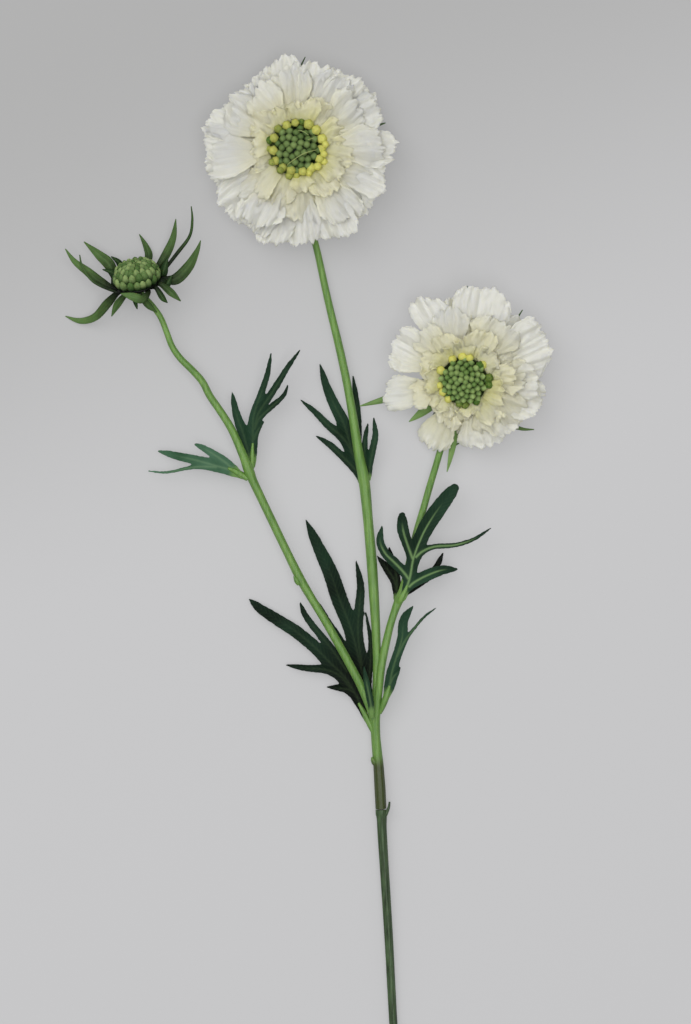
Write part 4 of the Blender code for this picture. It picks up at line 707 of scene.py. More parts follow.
def petal_tree():
    """Lays a grid on each point and shapes it by a rule into one pleated, toothed petal, from the point's numbers."""
    tree, given = new_tree("pleated_petals", {
        "Along": 28, "Across": 62, "Lobe Pitch": 4.0, "Lobe Depth": 0.9, "Tooth Pitch": 1.25, "Tooth Depth": 0.6,
        "Pleat Pitch": 3.4, "Ruffle": 1.0, "Crumple": 1.0, "Claw Width": 0.14, "Material": None,
    })
    sheet = add(tree, "GeometryNodeMeshGrid", {
        "Size X": 1.0, "Size Y": 2.0, "Vertices X": given["Along"], "Vertices Y": given["Across"],
    })
    spread = add(tree, "ShaderNodeSeparateXYZ", {0: add(tree, "GeometryNodeInputPosition")})
    sheet = add(tree, "GeometryNodeStoreNamedAttribute", {
        "Geometry": sheet, "Name": "u", "Value": Formula(tree, spread.outputs[0]) + 0.5,
    })
    sheet = add(tree, "GeometryNodeStoreNamedAttribute", {"Geometry": sheet, "Name": "v", "Value": spread.outputs[1]})
    copies = add(tree, "GeometryNodeInstanceOnPoints", {"Points": given["Geometry"], "Instance": sheet})
    copies = add(tree, "GeometryNodeRealizeInstances", {"Geometry": copies})
    read = [add(tree, "GeometryNodeInputNamedAttribute", {"Name": label}) for label in ("u", "v", *PETAL_TRAITS)]
    (u, v, turn, reach, width, tip, bend, rise, fold_depth, pleat_depth, crease, _, root, root_height,
     seed) = (Formula(tree, node) for node in read)

    def unevenness(x, y, z):
        """Noise between -0.5 and 0.5."""
        where = add(tree, "ShaderNodeCombineXYZ", {0: x, 1: y, 2: z})
        return Formula(tree, add(tree, "ShaderNodeTexNoise", {"Vector": where, "Scale": 1.0, "Detail": 1.0})) - 0.5

    def arches(distance, pitch, phase):
        """Round arches from 0 to 1 along a distance in mm, with a sharp notch at each pitch."""
        return (distance * math.pi / pitch + phase).then("SINE").then("ABSOLUTE")

    claw = Formula(tree, add(tree, "ShaderNodeMapRange", {
        0: u, 1: -0.15, 2: 0.8, 3: given["Claw Width"], 4: 1.0,
    }, interpolation_type="SMOOTHSTEP"))
    offset = v * width * 0.5
    length = reach - root
    warp = unevenness(v * 2.8, seed, 1.0) * 6.0
    rim = (v * v) ** 5.0
    # The far edge: rounded corners, lobes with sharp notches, and pointed teeth on the lobes
    skew = (seed * 5.0).then("SINE") * v * width * 0.12 + unevenness(v * 1.3, seed, 41.0) * 6.0
    rounding = v * v * width * 0.10 + (v * v) ** 3.0 * width * 0.16 + skew
    lobe_size = given["Lobe Depth"] * (1.0 + unevenness(v * 1.7, seed, 21.0) * 2.6)
    lobes = (arches(offset, given["Lobe Pitch"], seed * 1.3 + warp) - 0.75) * lobe_size * 1.5
    tooth_size = given["Tooth Depth"] * (1.0 + unevenness(v * 4.0, seed, 23.0) * 2.0)
    teeth = (0.6 - arches(offset, given["Tooth Pitch"], seed * 2.1 + warp * 2.0)) * tooth_size
    along = root + length * u - rounding * u ** 3.0 + lobes * u ** 6.0 + teeth * u ** 12.0
    # The side edges carry the same lobes and teeth, smaller towards the claw
    side_lobes = (arches(u * length, given["Lobe Pitch"], seed + v * 1.5) - 0.7) * 0.55 * given["Lobe Depth"]
    side_teeth = (0.5 - arches(u * length, given["Tooth Pitch"], seed * 1.7 + v)) * 0.8 * given["Tooth Depth"]
    sway = unevenness(u * 1.6, seed, 9.0) * 1.8 * u
    across = offset * claw + (side_lobes + side_teeth) * rim * u * v + bend * u * u + sway
    # Broad folds, pleats that fan out from the claw, and a frill that grows towards the edges
    wander = unevenness(u * 0.9, v * 2.6, seed) * 7.0
    regular = (offset * (2.0 * math.pi) / given["Pleat Pitch"] + seed * 3.0 + wander).then("SINE")
    pleats = regular * 0.35 + unevenness(offset / 1.25, u * 1.1, seed + 17.0) * 2.6
    strength = 0.8 + unevenness(v * 2.0, u * 1.2, seed + 31.0) * 2.4
    folds = unevenness(offset / 4.4, u * 1.1, seed + 3.0) * fold_depth * 7.0
    edge = (u ** 3.0).then("MAXIMUM", rim * u)
    frill = unevenness(offset / 2.7 + u * 1.5, u * length / 3.6, seed + 6.0) * given["Ruffle"] * 3.4 * edge
    curl = unevenness(v * 1.4, u * 0.6, seed + 51.0) * given["Ruffle"] * 9.0 * u ** 3.0
    crumple = unevenness(offset / 3.4, u * length / 3.6, seed + 11.0) * given["Crumple"] * 1.7 * u ** 0.6
    middle = (seed * 7.0).then("SINE") * 0.35
    roll = v * (seed * 3.3).then("SINE") * width * 0.16
    height = (
        root_height + (tip - root_height) * u + rise * 4.0 * u * (1.0 - u)
        + pleats * strength * pleat_depth * u ** 0.8 + folds * u ** 1.4 + frill + curl + crumple
        + ((v - middle).then("ABSOLUTE") * crease + roll) * u
    )
    swing, stand = turn.then("COSINE"), turn.then("SINE")
    x = along * swing - across * stand
    y = along * stand + across * swing
    placed = add(tree, "ShaderNodeVectorMath", {
        0: add(tree, "ShaderNodeCombineXYZ", {0: x, 1: y, 2: height}), 3: MM,
    }, operation="SCALE")
    bent = add(tree, "GeometryNodeSetPosition", {"Geometry": copies, "Position": placed})
    # The depth of each pleat valley is stored so that the material can paint shade into it
    for label, value in (("across", offset), ("out", along), ("valley_shade", 0.4 - pleats * strength * 0.5)):
        bent = add(tree, "GeometryNodeStoreNamedAttribute", {"Geometry": bent, "Name": label, "Value": value})
    return close_tree(tree, bent, given["Material"])


def petal_finish():
    """White polyester satin, heat set: matt and slightly see-through, cream to yellow-green towards the claw, with
    painted shade in its pleat valleys and along its fine ridges.
    """
    material, tree, shader = new_finish(
        "heat_set_polyester_petal", Roughness=0.65, Specular_IOR_Level=0.2, Sheen_Weight=0.08,
        Subsurface_Weight=0.6, Subsurface_Scale=0.0022,
    )
    shader.inputs["Subsurface Radius"].default_value = (1.0, 0.95, 0.7)
    labels = ("u", "across", "cream", "seed", "out", "valley_shade")
    read = [add(tree, "ShaderNodeAttribute", attribute_name=label) for label in labels]
    u, across, cream, seed, out, valley_shade = (Formula(tree, node.outputs["Fac"]) for node in read)
    place = add(tree, "ShaderNodeTexCoord").outputs["Object"]
    lines = add(tree, "ShaderNodeCombineXYZ", {0: across * RIDGES_PER_MM, 1: u * 1.2, 2: seed})
    lines = Formula(tree, add(tree, "ShaderNodeTexNoise", {"Vector": lines, "Scale": 1.0, "Detail": 4.0}))
    cloud = add(tree, "ShaderNodeTexNoise", {"Vector": place, "Scale": per_metre(DYE_CLOUD), "Detail": 2.0})
    # The dye is strongest by the disc and fades out over about 16 mm, further on the cream petals
    distance = out + 1.5 - cream * 10.0 + (Formula(tree, cloud) - 0.5) * 9.0 + (lines - 0.5) * 5.0
    inner = Formula(tree, add(tree, "ShaderNodeMapRange", {
        0: distance, 1: 2.0, 2: 14.0, 3: 1.0, 4: 0.0,
    }, interpolation_type="SMOOTHSTEP"))
    outer = Formula(tree, add(tree, "ShaderNodeMapRange", {
        0: distance, 1: 13.0, 2: 32.0, 3: 0.0, 4: 1.0,
    }, interpolation_type="SMOOTHSTEP"))
    white = add(tree, "ShaderNodeMix", {0: outer, 6: linear("#E5E0BB"), 7: linear("#E9E8DA")}, data_type="RGBA")
    dyed = add(tree, "ShaderNodeMix", {0: inner, 6: white.outputs[2], 7: linear("#D4CF8B")}, data_type="RGBA")
    # Painted shade: the pleat valleys, more towards the edge, and the high parts of the fine ridges are darkened to
    # grey green
    shade = (valley_shade.then("MAXIMUM", 0.0) ** 1.5) * 0.30 * (0.25 + u * 0.75) + (lines - 0.5).then("MAXIMUM", 0.0) * 0.5
    pleated = add(tree, "ShaderNodeMix", {0: shade, 6: dyed.outputs[2], 7: linear("#B4B59A")}, data_type="RGBA")
    tree.links.new(pleated.outputs[2], shader.inputs["Base Color"])
    # The threads are 0.1 mm, too fine to show, so the bump draws only the fine ridges pressed along the petal
    bump = add(tree, "ShaderNodeBump", {"Height": lines, "Strength": 0.5, "Distance": 0.0005})
    tree.links.new(bump.outputs["Normal"], shader.inputs["Normal"])
    return material


def seated(piece, side):
    """Leans a bloom's piece about the middle of its plate and sets it at its place, in its mesh."""
    centre, lean = BLOOMS[side]
    pivot = Vector((0, 0, PLATE_Z * MM))
    tilt = Matrix.Rotation(math.radians(-lean[1]), 4, "X") @ Matrix.Rotation(math.radians(lean[0]), 4, "Y")
    move = Matrix.Translation(Vector((*centre, 0)) * MM)
    piece.data.transform(move @ Matrix.Translation(pivot) @ tilt @ Matrix.Translation(-pivot))
    piece.data.update()
    return piece


def turned(name, profile, material):
    """A solid of revolution about Z from profile points of radius and height in mm, top to bottom."""
    edit = bmesh.new()
    rings = []
    for radius, height in profile:
        around = 1 if radius == 0 else ROUND_SIDES
        rings.append([
            edit.verts.new((radius * MM * math.cos(math.tau * k / ROUND_SIDES),
                            radius * MM * math.sin(math.tau * k / ROUND_SIDES), height * MM))
            for k in range(around)
        ])
    for upper, lower in zip(rings, rings[1:]):
        for k in range(ROUND_SIDES):
            corners = [upper[k % len(upper)], lower[k % len(lower)],
                       lower[(k + 1) % len(lower)], upper[(k + 1) % len(upper)]]
            edit.faces.new(list(dict.fromkeys(corners)))
    mesh = bpy.data.meshes.new(name)
    edit.to_mesh(mesh)
    edit.free()
    mesh.materials.append(material)
    mesh.shade_smooth()
    return into_scene(name, mesh)


def petal_layer(name, rows, tree, values, root, root_heights, seed):
    """One layer of petals from its table, as cloth with a thickness; root is how far out its claws start."""
    traits = {label: [] for label in PETAL_TRAITS}
    for k, row in enumerate(rows):
        full = (math.radians(row[0]), *row[1:], root, root_heights[k % len(root_heights)], seed + 1.618 * k)
        for label, value in zip(PETAL_TRAITS, full):
            traits[label].append(float(value))
    return thickened(grown(points_mesh(name, [(0.0, 0.0, 0.0)] * len(rows), traits), tree, values), PETAL_CLOTH)


petal_satin = petal_finish()
petal_rule = petal_tree()
for side, tables, roots, seed in [
    ("top", (TOP_OUTER, TOP_INNER, TOP_CURLED), (10.5, 12.0, 11.3), 3.0),
    ("right", (RIGHT_OUTER, RIGHT_INNER, RIGHT_CURLED), (10.5, 12.0, 9.7), 61.0),
]:
    pieces = [turned(side + "_petal_plate", PLATE_PROFILE, petal_satin)]
    for (layer, sizes, heights, step), table, root in zip(PETAL_LAYERS, tables, roots):
        values = {**sizes, "Material": petal_satin}
        pieces.append(petal_layer(side + layer, table, petal_rule, values, root, heights, seed + step))
    for piece in pieces:
        fit(seated(piece, side), side + "_petals")

# Under each bloom's plate a green cup carries a ring of narrow bracts. Both are soft moulded polyethylene,
# and the bracts show past the petals here and there as dark green points, their darkness partly painted shade.

CUP_PROFILE = [(0.0, 16.7), (7.0, 16.7), (7.4, 16.1), (6.2, 14.2), (4.0, 12.0), (3.0, 11.3), (0.0, 11.3)]
# The bracts' thickness, the size of their unevenness, and the size of their mottling, in mm
BRACT_SHEET, BRACT_WAVE, BRACT_MOTTLE = 0.4, 5.556, 3.333
# Each bract: direction in degrees, reach, width, height of the tip, how far its tip turns aside in degrees,
# and its tone from 0, dark, to 1, pale; the dark tones are partly painted shade for bracts in shadow under the petals
TOP_BRACTS = [
    (91, 39, 1.5, 12.8, -6, 0.0), (17, 38.6, 2.6, 13.0, 0, 0.2), (50, 33, 3.4, 9.4, 0, 0.4),
    (-28, 34, 3.2, 9.2, 4, 0.4), (-62, 32, 3.4, 9.6, 0, 0.5), (-128, 34, 3.4, 9.4, -4, 0.4),
    (-162, 33, 3.2, 9.0, 4, 0.4), (158, 33, 3.4, 9.4, 0, 0.4), (122, 31, 3.2, 9.6, 4, 0.4),
]
RIGHT_BRACTS = [
    (-165, 45, 3.4, 11.0, 0, 0.75), (-141, 29, 4.2, 14.0, -1, 0.9), (-131, 20, 2.4, 13.2, 1, 0.0),
    (-99, 40, 3.0, 9.4, -1, 1.0), (-86, 17.5, 1.8, 14.4, 0, 0.0), (-82, 28.6, 2.6, 9.0, -15, 0.3),
    (-47, 36.4, 2.6, 9.4, 11, 0.45), (8, 30, 3.2, 8.8, 0, 0.4), (48, 38, 1.4, 13.4, 2, 0.1),
    (88, 39, 2.0, 12.8, 0, 0.1), (133, 27.5, 2.4, 12.0, 0, 0.1), (-176, 27, 2.0, 13.4, -3, 0.3),
]


def bract_tree():
    """Sweeps a keeled blade along each route; its half width follows the route's own numbers."""
    tree, given = new_tree("keeled_bracts", {"Spacing": 0.0006, "Keel": 0.3, "Unevenness": 0.0003, "Material": None})
    route = add(tree, "GeometryNodeSetCurveNormal", {"Curve": smooth_paths(tree, given)}, mode="Z_UP")
    section = add(tree, "GeometryNodeCurvePrimitiveLine", {"Start": (-1.0, 0.0, 0.0), "End": (1.0, 0.0, 0.0)})
    section = add(tree, "GeometryNodeResampleCurve", {"Curve": section, "Count": 9})
    spot = add(tree, "ShaderNodeSeparateXYZ", {0: add(tree, "GeometryNodeInputPosition")})
    side = Formula(tree, spot.outputs[0])
    keel = add(tree, "ShaderNodeCombineXYZ", {0: side, 1: side.then("ABSOLUTE") * given["Keel"]})
    section = add(tree, "GeometryNodeSetPosition", {"Geometry": section, "Position": keel})
    section = add(tree, "GeometryNodeStoreNamedAttribute", {"Geometry": section, "Name": "across", "Value": side})
    wide = add(tree, "GeometryNodeInputNamedAttribute", {"Name": "half_width"})
    blade = add(tree, "GeometryNodeCurveToMesh", {"Curve": route, "Profile Curve": section, "Scale": wide.outputs[0]})
    blade = unevened(tree, blade, per_metre(BRACT_WAVE), 1.0, given["Unevenness"])
    return close_tree(tree, blade, given["Material"])


def bract_finish(name, foot, dark, pale, foot_end):
    """Soft moulded polyethylene: satin, nearly black at the foot, streaked green blade with a lighter keel."""
    material, tree, shader = new_finish(
        name, Roughness=0.5, Specular_IOR_Level=0.14, Subsurface_Weight=0.05, Subsurface_Scale=MM,
    )
    along, across, tone = (
        Formula(tree, add(tree, "ShaderNodeAttribute", attribute_name=label).outputs["Fac"])
        for label in ("along", "across", "tone")
    )
    place = add(tree, "ShaderNodeTexCoord").outputs["Object"]
    scale = per_metre(BRACT_MOTTLE)
    mottle = Formula(tree, add(tree, "ShaderNodeTexNoise", {"Vector": place, "Scale": scale, "Detail": 3.0}))
    streak = add(tree, "ShaderNodeCombineXYZ", {0: across * 4.0, 1: along * 3.0, 2: tone * 9.0})
    streak = Formula(tree, add(tree, "ShaderNodeTexNoise", {"Vector": streak, "Scale": 1.0, "Detail": 3.0}))
    near = Formula(tree, add(tree, "ShaderNodeMapRange", {
        0: along + (mottle - 0.5) * 0.2, 1: 0.16, 2: foot_end, 3: 0.0, 4: 1.0,
    }, interpolation_type="SMOOTHSTEP"))
    # Each bract's tone is partly its own colour and partly painted shade: bracts in shadow under the petals get dark
    # tones
    lightness = tone + (streak - 0.5) * 0.9 + (mottle - 0.5) * 0.3
    body = add(tree, "ShaderNodeMix", {0: lightness, 6: linear(dark), 7: linear(pale)}, data_type="RGBA")
    shaded = add(tree, "ShaderNodeMix", {0: near, 6: linear(foot), 7: body.outputs[2]}, data_type="RGBA")
    keel = (1.0 - across.then("ABSOLUTE")) ** 8.0 * near * 0.3
    keeled = add(tree, "ShaderNodeMix", {0: keel, 6: shaded.outputs[2], 7: linear(pale)}, data_type="RGBA")
    tree.links.new(keeled.outputs[2], shader.inputs["Base Color"])
    bump = add(tree, "ShaderNodeBump", {"Height": streak, "Strength": 0.3, "Distance": 0.0003})
    tree.links.new(bump.outputs["Normal"], shader.inputs["Normal"])
    return material


def bracts(name, routes, tones, tree, material):
    """Bracts swept along their routes of x, y, z and width, with a thickness."""
    halved = [[(x, y, z, width / 2) for x, y, z, width in route] for route in routes]
    return thickened(grown(strands(name, halved, tones), tree, {"Material": material}), BRACT_SHEET)


bract_rule = bract_tree()
bract_plastic = bract_finish("moulded_polyethylene_bract", "#101E0C", "#263D1E", "#789858", 0.4)
for side, table in [("top", TOP_BRACTS), ("right", RIGHT_BRACTS)]:
    routes = []
    for direction, reach, width, tip, aside, tone in table:
        routes.append([
            (radius * math.cos(math.radians(direction + aside * part)),
             radius * math.sin(math.radians(direction + aside * part)), height, wide)
            for radius, height, wide, part in [
                (4.6, 14.9, width * 0.7, 0.0), (reach * 0.36, 12.8, width, 0.0),
                (reach * 0.68, tip * 0.5 + 5.6, width * 0.95, 0.1),
                (reach * 0.87, tip * 0.8 + 2.4, width * 0.55, 0.5),
                (reach, tip, 0.3, 1.0),
            ]
        ])
    cup = turned(side + "_calyx_cup", CUP_PROFILE, bract_plastic)
    ring = bracts(side + "_calyx_bracts", routes, [row[-1] for row in table], bract_rule, bract_plastic)
    for piece in (cup, ring):
        fit(seated(piece, side), side + "_calyx")

# The centre of each bloom is a dome of dark green moulded plastic, near black as painted shade in the gaps, covered in
# closed florets that spiral out from the middle, each a small rounded knob painted darker towards its foot as shade
# in the gap round it. A few pale styles lie across the top one.

DISC_Z = 19.7
GOLDEN_ANGLE = math.radians(137.508)
# The size of the powder's specks, in mm; real grains are under 0.1 mm, too fine to show, so they are drawn coarser
POWDER_GRAIN = 0.8333
# The angles from a dome's top to its rim at which its profile is drawn
DOME_ANGLES = [k * math.pi / 24 for k in range(13)]
STYLE_ROUTES = [
    [(-4.1, -7.2, 23.0, 0.10), (-3.4, -6.4, 23.9, 0.20), (-0.2, -4.2, 25.5, 0.16), (2.5, -2.6, 26.1, 0.20),
     (5.4, -1.5, 25.3, 0.18), (8.9, -0.5, 22.9, 0.10)],
    [(4.4, 3.4, 25.0, 0.10), (6.4, 4.0, 24.3, 0.16), (8.6, 4.9, 22.9, 0.10)],
    [(0.6, 7.4, 24.0, 0.12), (2.6, 6.9, 24.2, 0.18), (4.8, 5.4, 24.4, 0.10)],
]


def shaped_floret(tree, segments, rings, stretch, tip, lobes, lobe_depth):
    """One closed floret: a round knob drawn out along Z to a blunt point, pinched into a few lobes."""
    knob = add(tree, "GeometryNodeMeshUVSphere", {"Segments": segments, "Rings": rings, "Radius": 1.0})
    spot = add(tree, "GeometryNodeInputPosition")
    axes = [Formula(tree, out) for out in add(tree, "ShaderNodeSeparateXYZ", {0: spot}).outputs]
    angle = axes[1].then("ARCTAN2", axes[0])
    high = axes[2].then("MAXIMUM", 0.0)
    pinch = (1.0 + (angle * lobes).then("COSINE") * lobe_depth) * (1.0 - high * high * tip)
    shaped = add(tree, "ShaderNodeCombineXYZ", {0: axes[0] * pinch, 1: axes[1] * pinch, 2: axes[2] * stretch})
    knob = add(tree, "GeometryNodeStoreNamedAttribute", {"Geometry": knob, "Name": "rise", "Value": axes[2]})
    return add(tree, "GeometryNodeSetPosition", {"Geometry": knob, "Position": shaped})


def floret_tree():
    """Florets over a dome by the golden angle, each pointing out of it, a little uneven in size."""
    tree, given = new_tree("florets_on_dome", {
        "Count": 40, "Radius": 8.0, "Height": 5.0, "Foot": DISC_Z, "Lowest": 0.95, "Size": 1.5, "Stretch": 1.1,
        "Point": 0.3, "Lift": 0.3, "Lobes": 4.0, "Lobe Depth": 0.07, "Seed": 1, "Material": None,
    })
    knob = shaped_floret(tree, 12, 8, given["Stretch"], given["Point"], given["Lobes"], given["Lobe Depth"])
    points = add(tree, "GeometryNodePoints", {"Count": given["Count"]})
    index = Formula(tree, add(tree, "GeometryNodeInputIndex"))
    sine = ((index + 0.5) / given["Count"]) ** 0.5 * given["Lowest"]
    cosine = (1.0 - sine * sine) ** 0.5
    turn = index * GOLDEN_ANGLE
    swing, stand = turn.then("COSINE"), turn.then("SINE")
    place = add(tree, "ShaderNodeCombineXYZ", {
        0: sine * swing * given["Radius"], 1: sine * stand * given["Radius"],
        2: cosine * given["Height"] + given["Foot"],
    })
    place = add(tree, "ShaderNodeVectorMath", {0: place, 3: MM}, operation="SCALE")
    points = add(tree, "GeometryNodeSetPosition", {"Geometry": points, "Position": place})
    out = add(tree, "ShaderNodeCombineXYZ", {0: sine * swing, 1: sine * stand, 2: cosine * 1.1 + given["Lift"]})
    facing = add(tree, "FunctionNodeAlignRotationToVector", {"Vector": out}, axis="Z")
    size = add(tree, "FunctionNodeRandomValue", {2: 0.92, 3: 1.08, "Seed": given["Seed"]})
    size = Formula(tree, size.outputs[1]) * given["Size"] * MM * (0.86 + sine * 0.18)
    florets = add(tree, "GeometryNodeInstanceOnPoints", {
        "Points": points, "Instance": knob, "Rotation": facing, "Scale": size,
    })
    shade = add(tree, "FunctionNodeRandomValue", {2: 0.0, 3: 1.0, "Seed": given["Seed"]})
    florets = add(tree, "GeometryNodeStoreNamedAttribute", {
        "Geometry": florets, "Name": "shade", "Value": shade.outputs[1],
    }, domain="INSTANCE")
    return close_tree(tree, florets, given["Material"])


def floret_finish(name, gap, knob, tip, low, high):
    """Moulded plastic florets with a powdery paint: matt knobs, painted darker towards their feet as shade in the gaps
    between them.
    """
    material, tree, shader = new_finish(
        name, Roughness=0.55, Specular_IOR_Level=0.16, Subsurface_Weight=0.06, Subsurface_Scale=0.5 * MM,
    )
    rise, shade = (
        Formula(tree, add(tree, "ShaderNodeAttribute", attribute_name=label).outputs["Fac"])
        for label in ("rise", "shade")
    )
    place = add(tree, "ShaderNodeTexCoord").outputs["Object"]
    scale = per_metre(POWDER_GRAIN)
    powder = Formula(tree, add(tree, "ShaderNodeTexNoise", {"Vector": place, "Scale": scale, "Detail": 3.0}))
    # Painted shade: each knob is darkened towards its foot, to the gap colour, as the shade between the florets
    lit = Formula(tree, add(tree, "ShaderNodeMapRange", {
        0: rise + (powder - 0.5) * 0.25, 1: low, 2: high, 3: 0.0, 4: 1.0,
    }, interpolation_type="SMOOTHSTEP"))
    top = add(tree, "ShaderNodeMix", {
        0: shade + (powder - 0.5) * 0.7, 6: linear(knob), 7: linear(tip),
    }, data_type="RGBA")
    body = add(tree, "ShaderNodeMix", {0: lit, 6: linear(gap), 7: top.outputs[2]}, data_type="RGBA")
    tree.links.new(body.outputs[2], shader.inputs["Base Color"])
    bump = add(tree, "ShaderNodeBump", {"Height": powder, "Strength": 0.4, "Distance": 0.0002})
    tree.links.new(bump.outputs["Normal"], shader.inputs["Normal"])
    return material


floret_rule = floret_tree()
top_floret_plastic = floret_finish("powdered_plastic_floret", "#0E1B08", "#526B38", "#7E9458", -0.1, 0.9)
right_floret_plastic = floret_finish("powdered_plastic_floret_light", "#16280A", "#668644", "#98B06C", -0.2, 0.8)
# Near-black plastic for the domes, as painted shade in the gaps between the florets
shade_gap_plastic = floret_finish("powdered_plastic_shade_gap", "#101C08", "#16240C", "#1E3010", -0.2, 0.8)
for side, count, radius, height, size, stretch, point, lift, finish in [
    ("top", 38, 9.3, 4.4, 1.78, 1.15, 0.15, 0.3, top_floret_plastic),
    ("right", 56, 9.6, 6.6, 1.56, 1.35, 0.9, 0.1, right_floret_plastic),
]:
    profile = [(radius * math.sin(angle), DISC_Z + height * math.cos(angle) * 0.94) for angle in DOME_ANGLES]
    dome = turned(side + "_disc_dome", [*profile, (radius + 1.2, DISC_Z), (0.0, DISC_Z - 0.4)], shade_gap_plastic)
    knobs = grown(points_mesh(side + "_disc_florets", [(0, 0, 0)], {}), floret_rule, {
        "Count": count, "Radius": radius, "Height": height, "Lowest": 0.94, "Size": size,
        "Stretch": stretch, "Point": point, "Lift": lift, "Seed": 5, "Material": finish,
    })
    for piece in (dome, knobs):
        fit(seated(piece, side), side + "_disc")
style_plastic = stem_finish("moulded_polyethylene_style", "#A9B574", "#8C9C5C", 0.5)[0]
styles = grown(strands("top_styles", STYLE_ROUTES), stem_skin, {
    "Spacing": 0.0004, "Sides": 8, "Ribs": 0.0, "Grain Depth": 0.0, "Material": style_plastic,
})
fit(seated(styles, "top"), "top_disc")

# Round each dome stand open florets in yellow and green plastic, crowded on the sunny side of the top bloom and few
# on the right one. They are moulded in one with the thin ring that they grow from, whose dark olive is painted shade.

YELLOW_OUTER, YELLOW_RING_TOP = 12.2, 20.6
# How much nearer the middle, and how much larger, the florets are than the tables say, and their height
YELLOW_NEARER, YELLOW_LARGER, YELLOW_Z = 0.96, 1.18, 22.2
# Each floret: angle in degrees, distance from the middle, size, and colour from 0, dark green, to 1, yellow
TOP_YELLOW = [
    (114, 10.9, 1.65, 0.72), (94, 11.1, 1.45, 0.66), (80, 11.7, 1.3, 0.1), (64, 11.5, 1.85, 0.72),
    (44, 11.5, 1.85, 0.85), (21, 11.6, 1.85, 0.95), (8, 12.4, 1.3, 1.0), (-1, 10.5, 1.65, 0.85),
    (-12, 11.9, 1.35, 1.0), (-25, 10.7, 1.6, 0.85), (-26, 12.9, 1.4, 1.0), (-41, 11.9, 1.5, 1.0),
    (-54, 10.4, 1.8, 0.85), (-64, 11.8, 1.35, 0.9), (-76, 10.3, 1.6, 0.75), (-91, 11.7, 1.35, 0.62),
    (-105, 9.8, 1.7, 0.62), (-106, 12.3, 1.4, 0.5), (-127, 10.1, 1.55, 0.55), (-127, 11.9, 1.35, 0.3),
    (-150, 10.5, 1.6, 0.65), (-151, 12.3, 1.35, 0.4), (-175, 10.3, 1.7, 0.7), (-179, 12.1, 1.25, 0.45),
    (156, 10.9, 1.65, 0.62), (164, 12.7, 1.5, 0.05), (134, 11.8, 1.5, 0.35),
]
RIGHT_YELLOW = [
    (-152, 10.0, 1.55, 1.0), (-130, 10.1, 1.4, 0.9), (-170, 10.3, 1.35, 1.0), (154, 10.9, 1.6, 0.95),
    (117, 10.6, 1.5, 0.95), (92, 10.6, 1.7, 1.0), (75, 10.5, 1.4, 1.0), (40, 11.2, 1.5, 0.85),
    (44, 9.9, 1.6, 0.0), (8, 11.1, 1.6, 0.1), (-7, 11.2, 1.7, 0.05), (-100, 10.0, 1.35, 0.15),
    (-86, 10.3, 1.5, 0.15), (-58, 10.6, 1.3, 0.0),
]


def ring_floret_tree():
    """One floret on each point, drawn out along the point's own direction, with a dimple where its petals meet."""
    tree, given = new_tree("florets_on_points", {
        "Stretch": 1.15, "Point": 0.2, "Lobes": 5.0, "Lobe Depth": 0.08, "Material": None,
    })
    bud = shaped_floret(tree, 14, 9, given["Stretch"], given["Point"], given["Lobes"], given["Lobe Depth"])
    out = add(tree, "GeometryNodeInputNamedAttribute", {"Name": "out"}, data_type="FLOAT_VECTOR")
    facing = add(tree, "FunctionNodeAlignRotationToVector", {"Vector": out}, axis="Z")
    size = add(tree, "GeometryNodeInputNamedAttribute", {"Name": "size"})
    buds = add(tree, "GeometryNodeInstanceOnPoints", {
        "Points": given["Geometry"], "Instance": bud, "Rotation": facing, "Scale": size.outputs[0],
    })
    return close_tree(tree, buds, given["Material"])


ring_rule = ring_floret_tree()
# The ring's dark olive is painted shade in the gap between the dome and the petals
ring_shade_plastic = floret_finish("powdered_plastic_ring_shade", "#3A4618", "#4E5A20", "#6A7430", -0.2, 0.8)
yellow_plastic = floret_finish("powdered_plastic_yellow", "#707828", "#456628", "#D3D16E", -0.7, 0.4)
for side, inner, table in [("top", 9.2, TOP_YELLOW), ("right", 9.4, RIGHT_YELLOW)]:
    where, out, size, shade = [], [], [], []
    for k, (angle, distance, radius, tone) in enumerate(table):
        turn = math.radians(angle)
        near = YELLOW_NEARER * distance
        where.append((near * math.cos(turn), near * math.sin(turn), YELLOW_Z + 0.7 * math.sin(k * 2.4)))
        out.append((0.4 * math.cos(turn + math.sin(k)), 0.4 * math.sin(turn + math.sin(k)), 1.0))
        size.append(YELLOW_LARGER * radius * MM)
        shade.append(tone)
    ring = turned(side + "_yellow_ring", [
        (inner, YELLOW_RING_TOP), (YELLOW_OUTER - 0.3, YELLOW_RING_TOP), (YELLOW_OUTER, YELLOW_RING_TOP - 0.3),
        (YELLOW_OUTER, DISC_Z), (inner, DISC_Z), (inner, YELLOW_RING_TOP),
    ], ring_shade_plastic)
    spots = points_mesh(side + "_yellow_florets", where, {"size": size, "shade": shade}, out=out)
    for piece in (ring, grown(spots, ring_rule, {"Material": yellow_plastic})):
        fit(seated(piece, side), side + "_yellow")

# The bud is a closed head still without petals: a drum of long green florets in rows, moulded in one, sitting in
# a cup of eighteen narrow bracts that curl out and up round it, nearly black at their feet.

BUD_CENTRE, BUD_AXIS = (-70.5, 134.6, 13.0), (-0.17, 0.85, 0.50)
BUD_RADIUS, BUD_HEIGHT, BUD_FOOT_RADIUS, BUD_FOOT = 8.2, 7.2, 6.6, 0.3
# Each row of florets from the rim to the middle: degrees from the axis, number, size
BUD_ROWS = [(85, 19, 1.60), (65, 19, 1.58), (48, 17, 1.45), (32, 12, 1.35), (17, 7, 1.3), (3, 2, 1.1)]
